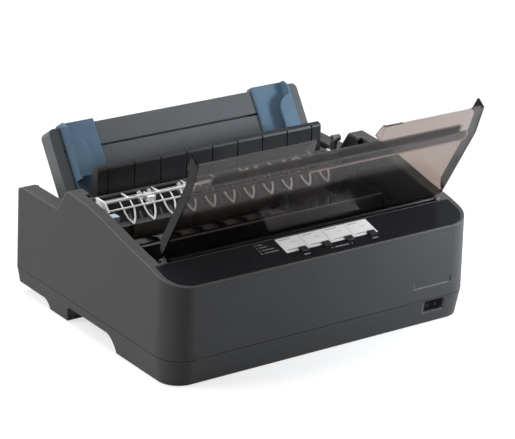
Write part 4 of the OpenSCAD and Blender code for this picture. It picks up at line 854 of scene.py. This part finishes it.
along.pivot_axis = "Y"
way = cog_tree.nodes.new("GeometryNodeInputTangent")
join(cog_tree, way.outputs["Tangent"], along.inputs["Vector"])
copies = cog_tree.nodes.new("GeometryNodeInstanceOnPoints")
join(cog_tree, spaced.outputs["Curve"], copies.inputs["Points"])
join(cog_tree, cog.outputs["Mesh"], copies.inputs["Instance"])
join(cog_tree, along.outputs["Rotation"], copies.inputs["Rotation"])
end_tree(cog_tree, source, copies.outputs["Instances"], out)
print("cog tree:", len(cog_tree.nodes), "nodes")

# %% Cogs of the drive belt
belt_low, belt_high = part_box("drive_belt")
BELT_MIDDLE_Y = (belt_low.y + belt_high.y) / 2 - CASE_Y
BELT_MIDDLE_Z = (belt_low.z + belt_high.z) / 2
BELT_PULLEY_X = 118 * MM
COG_LINE = 7.2 * MM
ARC_STEPS = 16
loop = []
for side in (1, -1):
    for step in range(ARC_STEPS + 1):
        turn = math.radians(side * 90 - step * 180 / ARC_STEPS)
        x = CASE_X + side * BELT_PULLEY_X + COG_LINE * math.cos(turn)
        loop.append((x, CASE_Y + BELT_MIDDLE_Y, BELT_MIDDLE_Z + COG_LINE * math.sin(turn)))
closed = [(i, (i + 1) % len(loop)) for i in range(len(loop))]
grown("belt_cogs", cog_tree, loop, {}, {}, "belt_rubber", "case", closed)

# %% [markdown]
# ## Floor, room and lamps
# The floor is one large pale sheet. The room sheds a dim light that fades toward the front, so the
# front wall stays darker than the side. Three soft lamps shape the case: a broad warm one from the
# left, a small cool one close to the front right corner, and one from above and behind for the
# rims. A camera ray that passes the object ends in plain white. Gloss and clear sheets see the same
# white, but darker toward the ceiling. A Light Path node tells these rays apart, so the white shows
# in them and lights no matt surface, and the floor still shows the object's shadow.

# %% Floor
FLOOR_GLOW = 0.66
PAPER_DARK, PAPER_PALE = 0.36, 0.38


def flat_sheet(name, size, height):
    """A square in metres, with its middle over the origin."""
    mesh = bpy.data.meshes.new(name)
    half = size / 2
    corners = [(-half, -half, height), (half, -half, height), (half, half, height), (-half, half, height)]
    mesh.from_pydata(corners, [], [(0, 1, 2, 3)])
    made = bpy.data.objects.new(name, mesh)
    SCENE.collection.objects.link(made)
    return made


floor = flat_sheet("floor", 12, 0)
floor_finish, tree, shader, where = new_material("floor_paper")
paper = mixed(tree, ranged(tree, noise(tree, where, 3), 0, 1), grey(PAPER_DARK), grey(PAPER_PALE))
join(tree, paper, shader.inputs["Base Color"])
shader.inputs["Roughness"].default_value = 0.9
shader.inputs["Specular IOR Level"].default_value = 0.1
glow = add_node(tree, "ShaderNodeEmission", Color=grey(1), Strength=FLOOR_GLOW)
seen = tree.nodes.new("ShaderNodeLightPath")
added = tree.nodes.new("ShaderNodeAddShader")
gate = tree.nodes.new("ShaderNodeMixShader")
join(tree, shader.outputs["BSDF"], added.inputs[0])
join(tree, glow.outputs["Emission"], added.inputs[1])
straight = worked(tree, "MAXIMUM", seen.outputs["Is Camera Ray"], seen.outputs["Is Transmission Ray"])
join(tree, worked(tree, "MAXIMUM", straight, seen.outputs["Is Glossy Ray"]), gate.inputs[0])
join(tree, shader.outputs["BSDF"], gate.inputs[1])
join(tree, added.outputs["Shader"], gate.inputs[2])
join(tree, gate.outputs["Shader"], tree.nodes["Material Output"].inputs["Surface"])
floor.data.materials.append(floor_finish)
print("floor is", round(floor.dimensions.x, 1), "m wide")

# %% Room
ROOM_LIGHT, DARKEST = 0.46, 0.03
FADE_FRONT, FADE_BACK = -0.9, 0.1
CEILING_LIGHT, CEILING_FROM, CEILING_TO = 0.25, 0.25, 0.7
world = bpy.data.worlds.new("room")
world.use_nodes = True
SCENE.world = world
tree = world.node_tree
for old in list(tree.nodes):
    tree.nodes.remove(old)
seen = tree.nodes.new("ShaderNodeLightPath")
straight = worked(tree, "MAXIMUM", seen.outputs["Is Camera Ray"], seen.outputs["Is Transmission Ray"])
room = add_node(tree, "ShaderNodeBackground", Color=grey(1), Strength=ROOM_LIGHT)
white = add_node(tree, "ShaderNodeBackground", Color=grey(1), Strength=1.0)
way = tree.nodes.new("ShaderNodeSeparateXYZ")
join(tree, tree.nodes.new("ShaderNodeTexCoord").outputs["Generated"], way.inputs["Vector"])
faded = ranged(tree, way.outputs["Y"], DARKEST, ROOM_LIGHT, FADE_FRONT, FADE_BACK)
join(tree, faded, room.inputs["Strength"])
dimmed = ranged(tree, way.outputs["Z"], 1.0, CEILING_LIGHT, CEILING_FROM, CEILING_TO)
join(tree, worked(tree, "MAXIMUM", dimmed, seen.outputs["Is Camera Ray"]), white.inputs["Strength"])
gate = tree.nodes.new("ShaderNodeMixShader")
out = tree.nodes.new("ShaderNodeOutputWorld")
join(tree, worked(tree, "MAXIMUM", straight, seen.outputs["Is Glossy Ray"]), gate.inputs[0])
join(tree, room.outputs[0], gate.inputs[1])
join(tree, white.outputs[0], gate.inputs[2])
join(tree, gate.outputs[0], out.inputs["Surface"])
print("room light", ROOM_LIGHT)

# %% Lamps
def soft_lamp(name, place, aim, size, watts, colour=(1, 1, 1)):
    """A round lamp at place that points at aim; its size and both places are in metres."""
    data = bpy.data.lights.new(name, "AREA")
    data.shape = "DISK"
    data.size = size
    data.energy = watts
    data.color = colour
    made = bpy.data.objects.new(name, data)
    SCENE.collection.objects.link(made)
    made.location = place
    made.rotation_euler = (Vector(aim) - Vector(place)).to_track_quat("-Z", "Y").to_euler()
    return made


lamps = [
    soft_lamp("lamp_left", (-2.2, 0.9, 1.7), (0, 0, 0.08), 1.4, 54, (1, 0.985, 0.965)),
    soft_lamp("lamp_front", (0.44, -0.33, 0.24), (0.14, -0.14, 0.06), 0.2, 3.6, (0.87, 0.93, 1)),
    soft_lamp("lamp_top", (-0.3, 0.6, 2.4), (0, 0, 0.1), 1.5, 45),
]
print("lamps:", ", ".join(f"{lamp.name} {lamp.data.energy:.0f} W" for lamp in lamps))
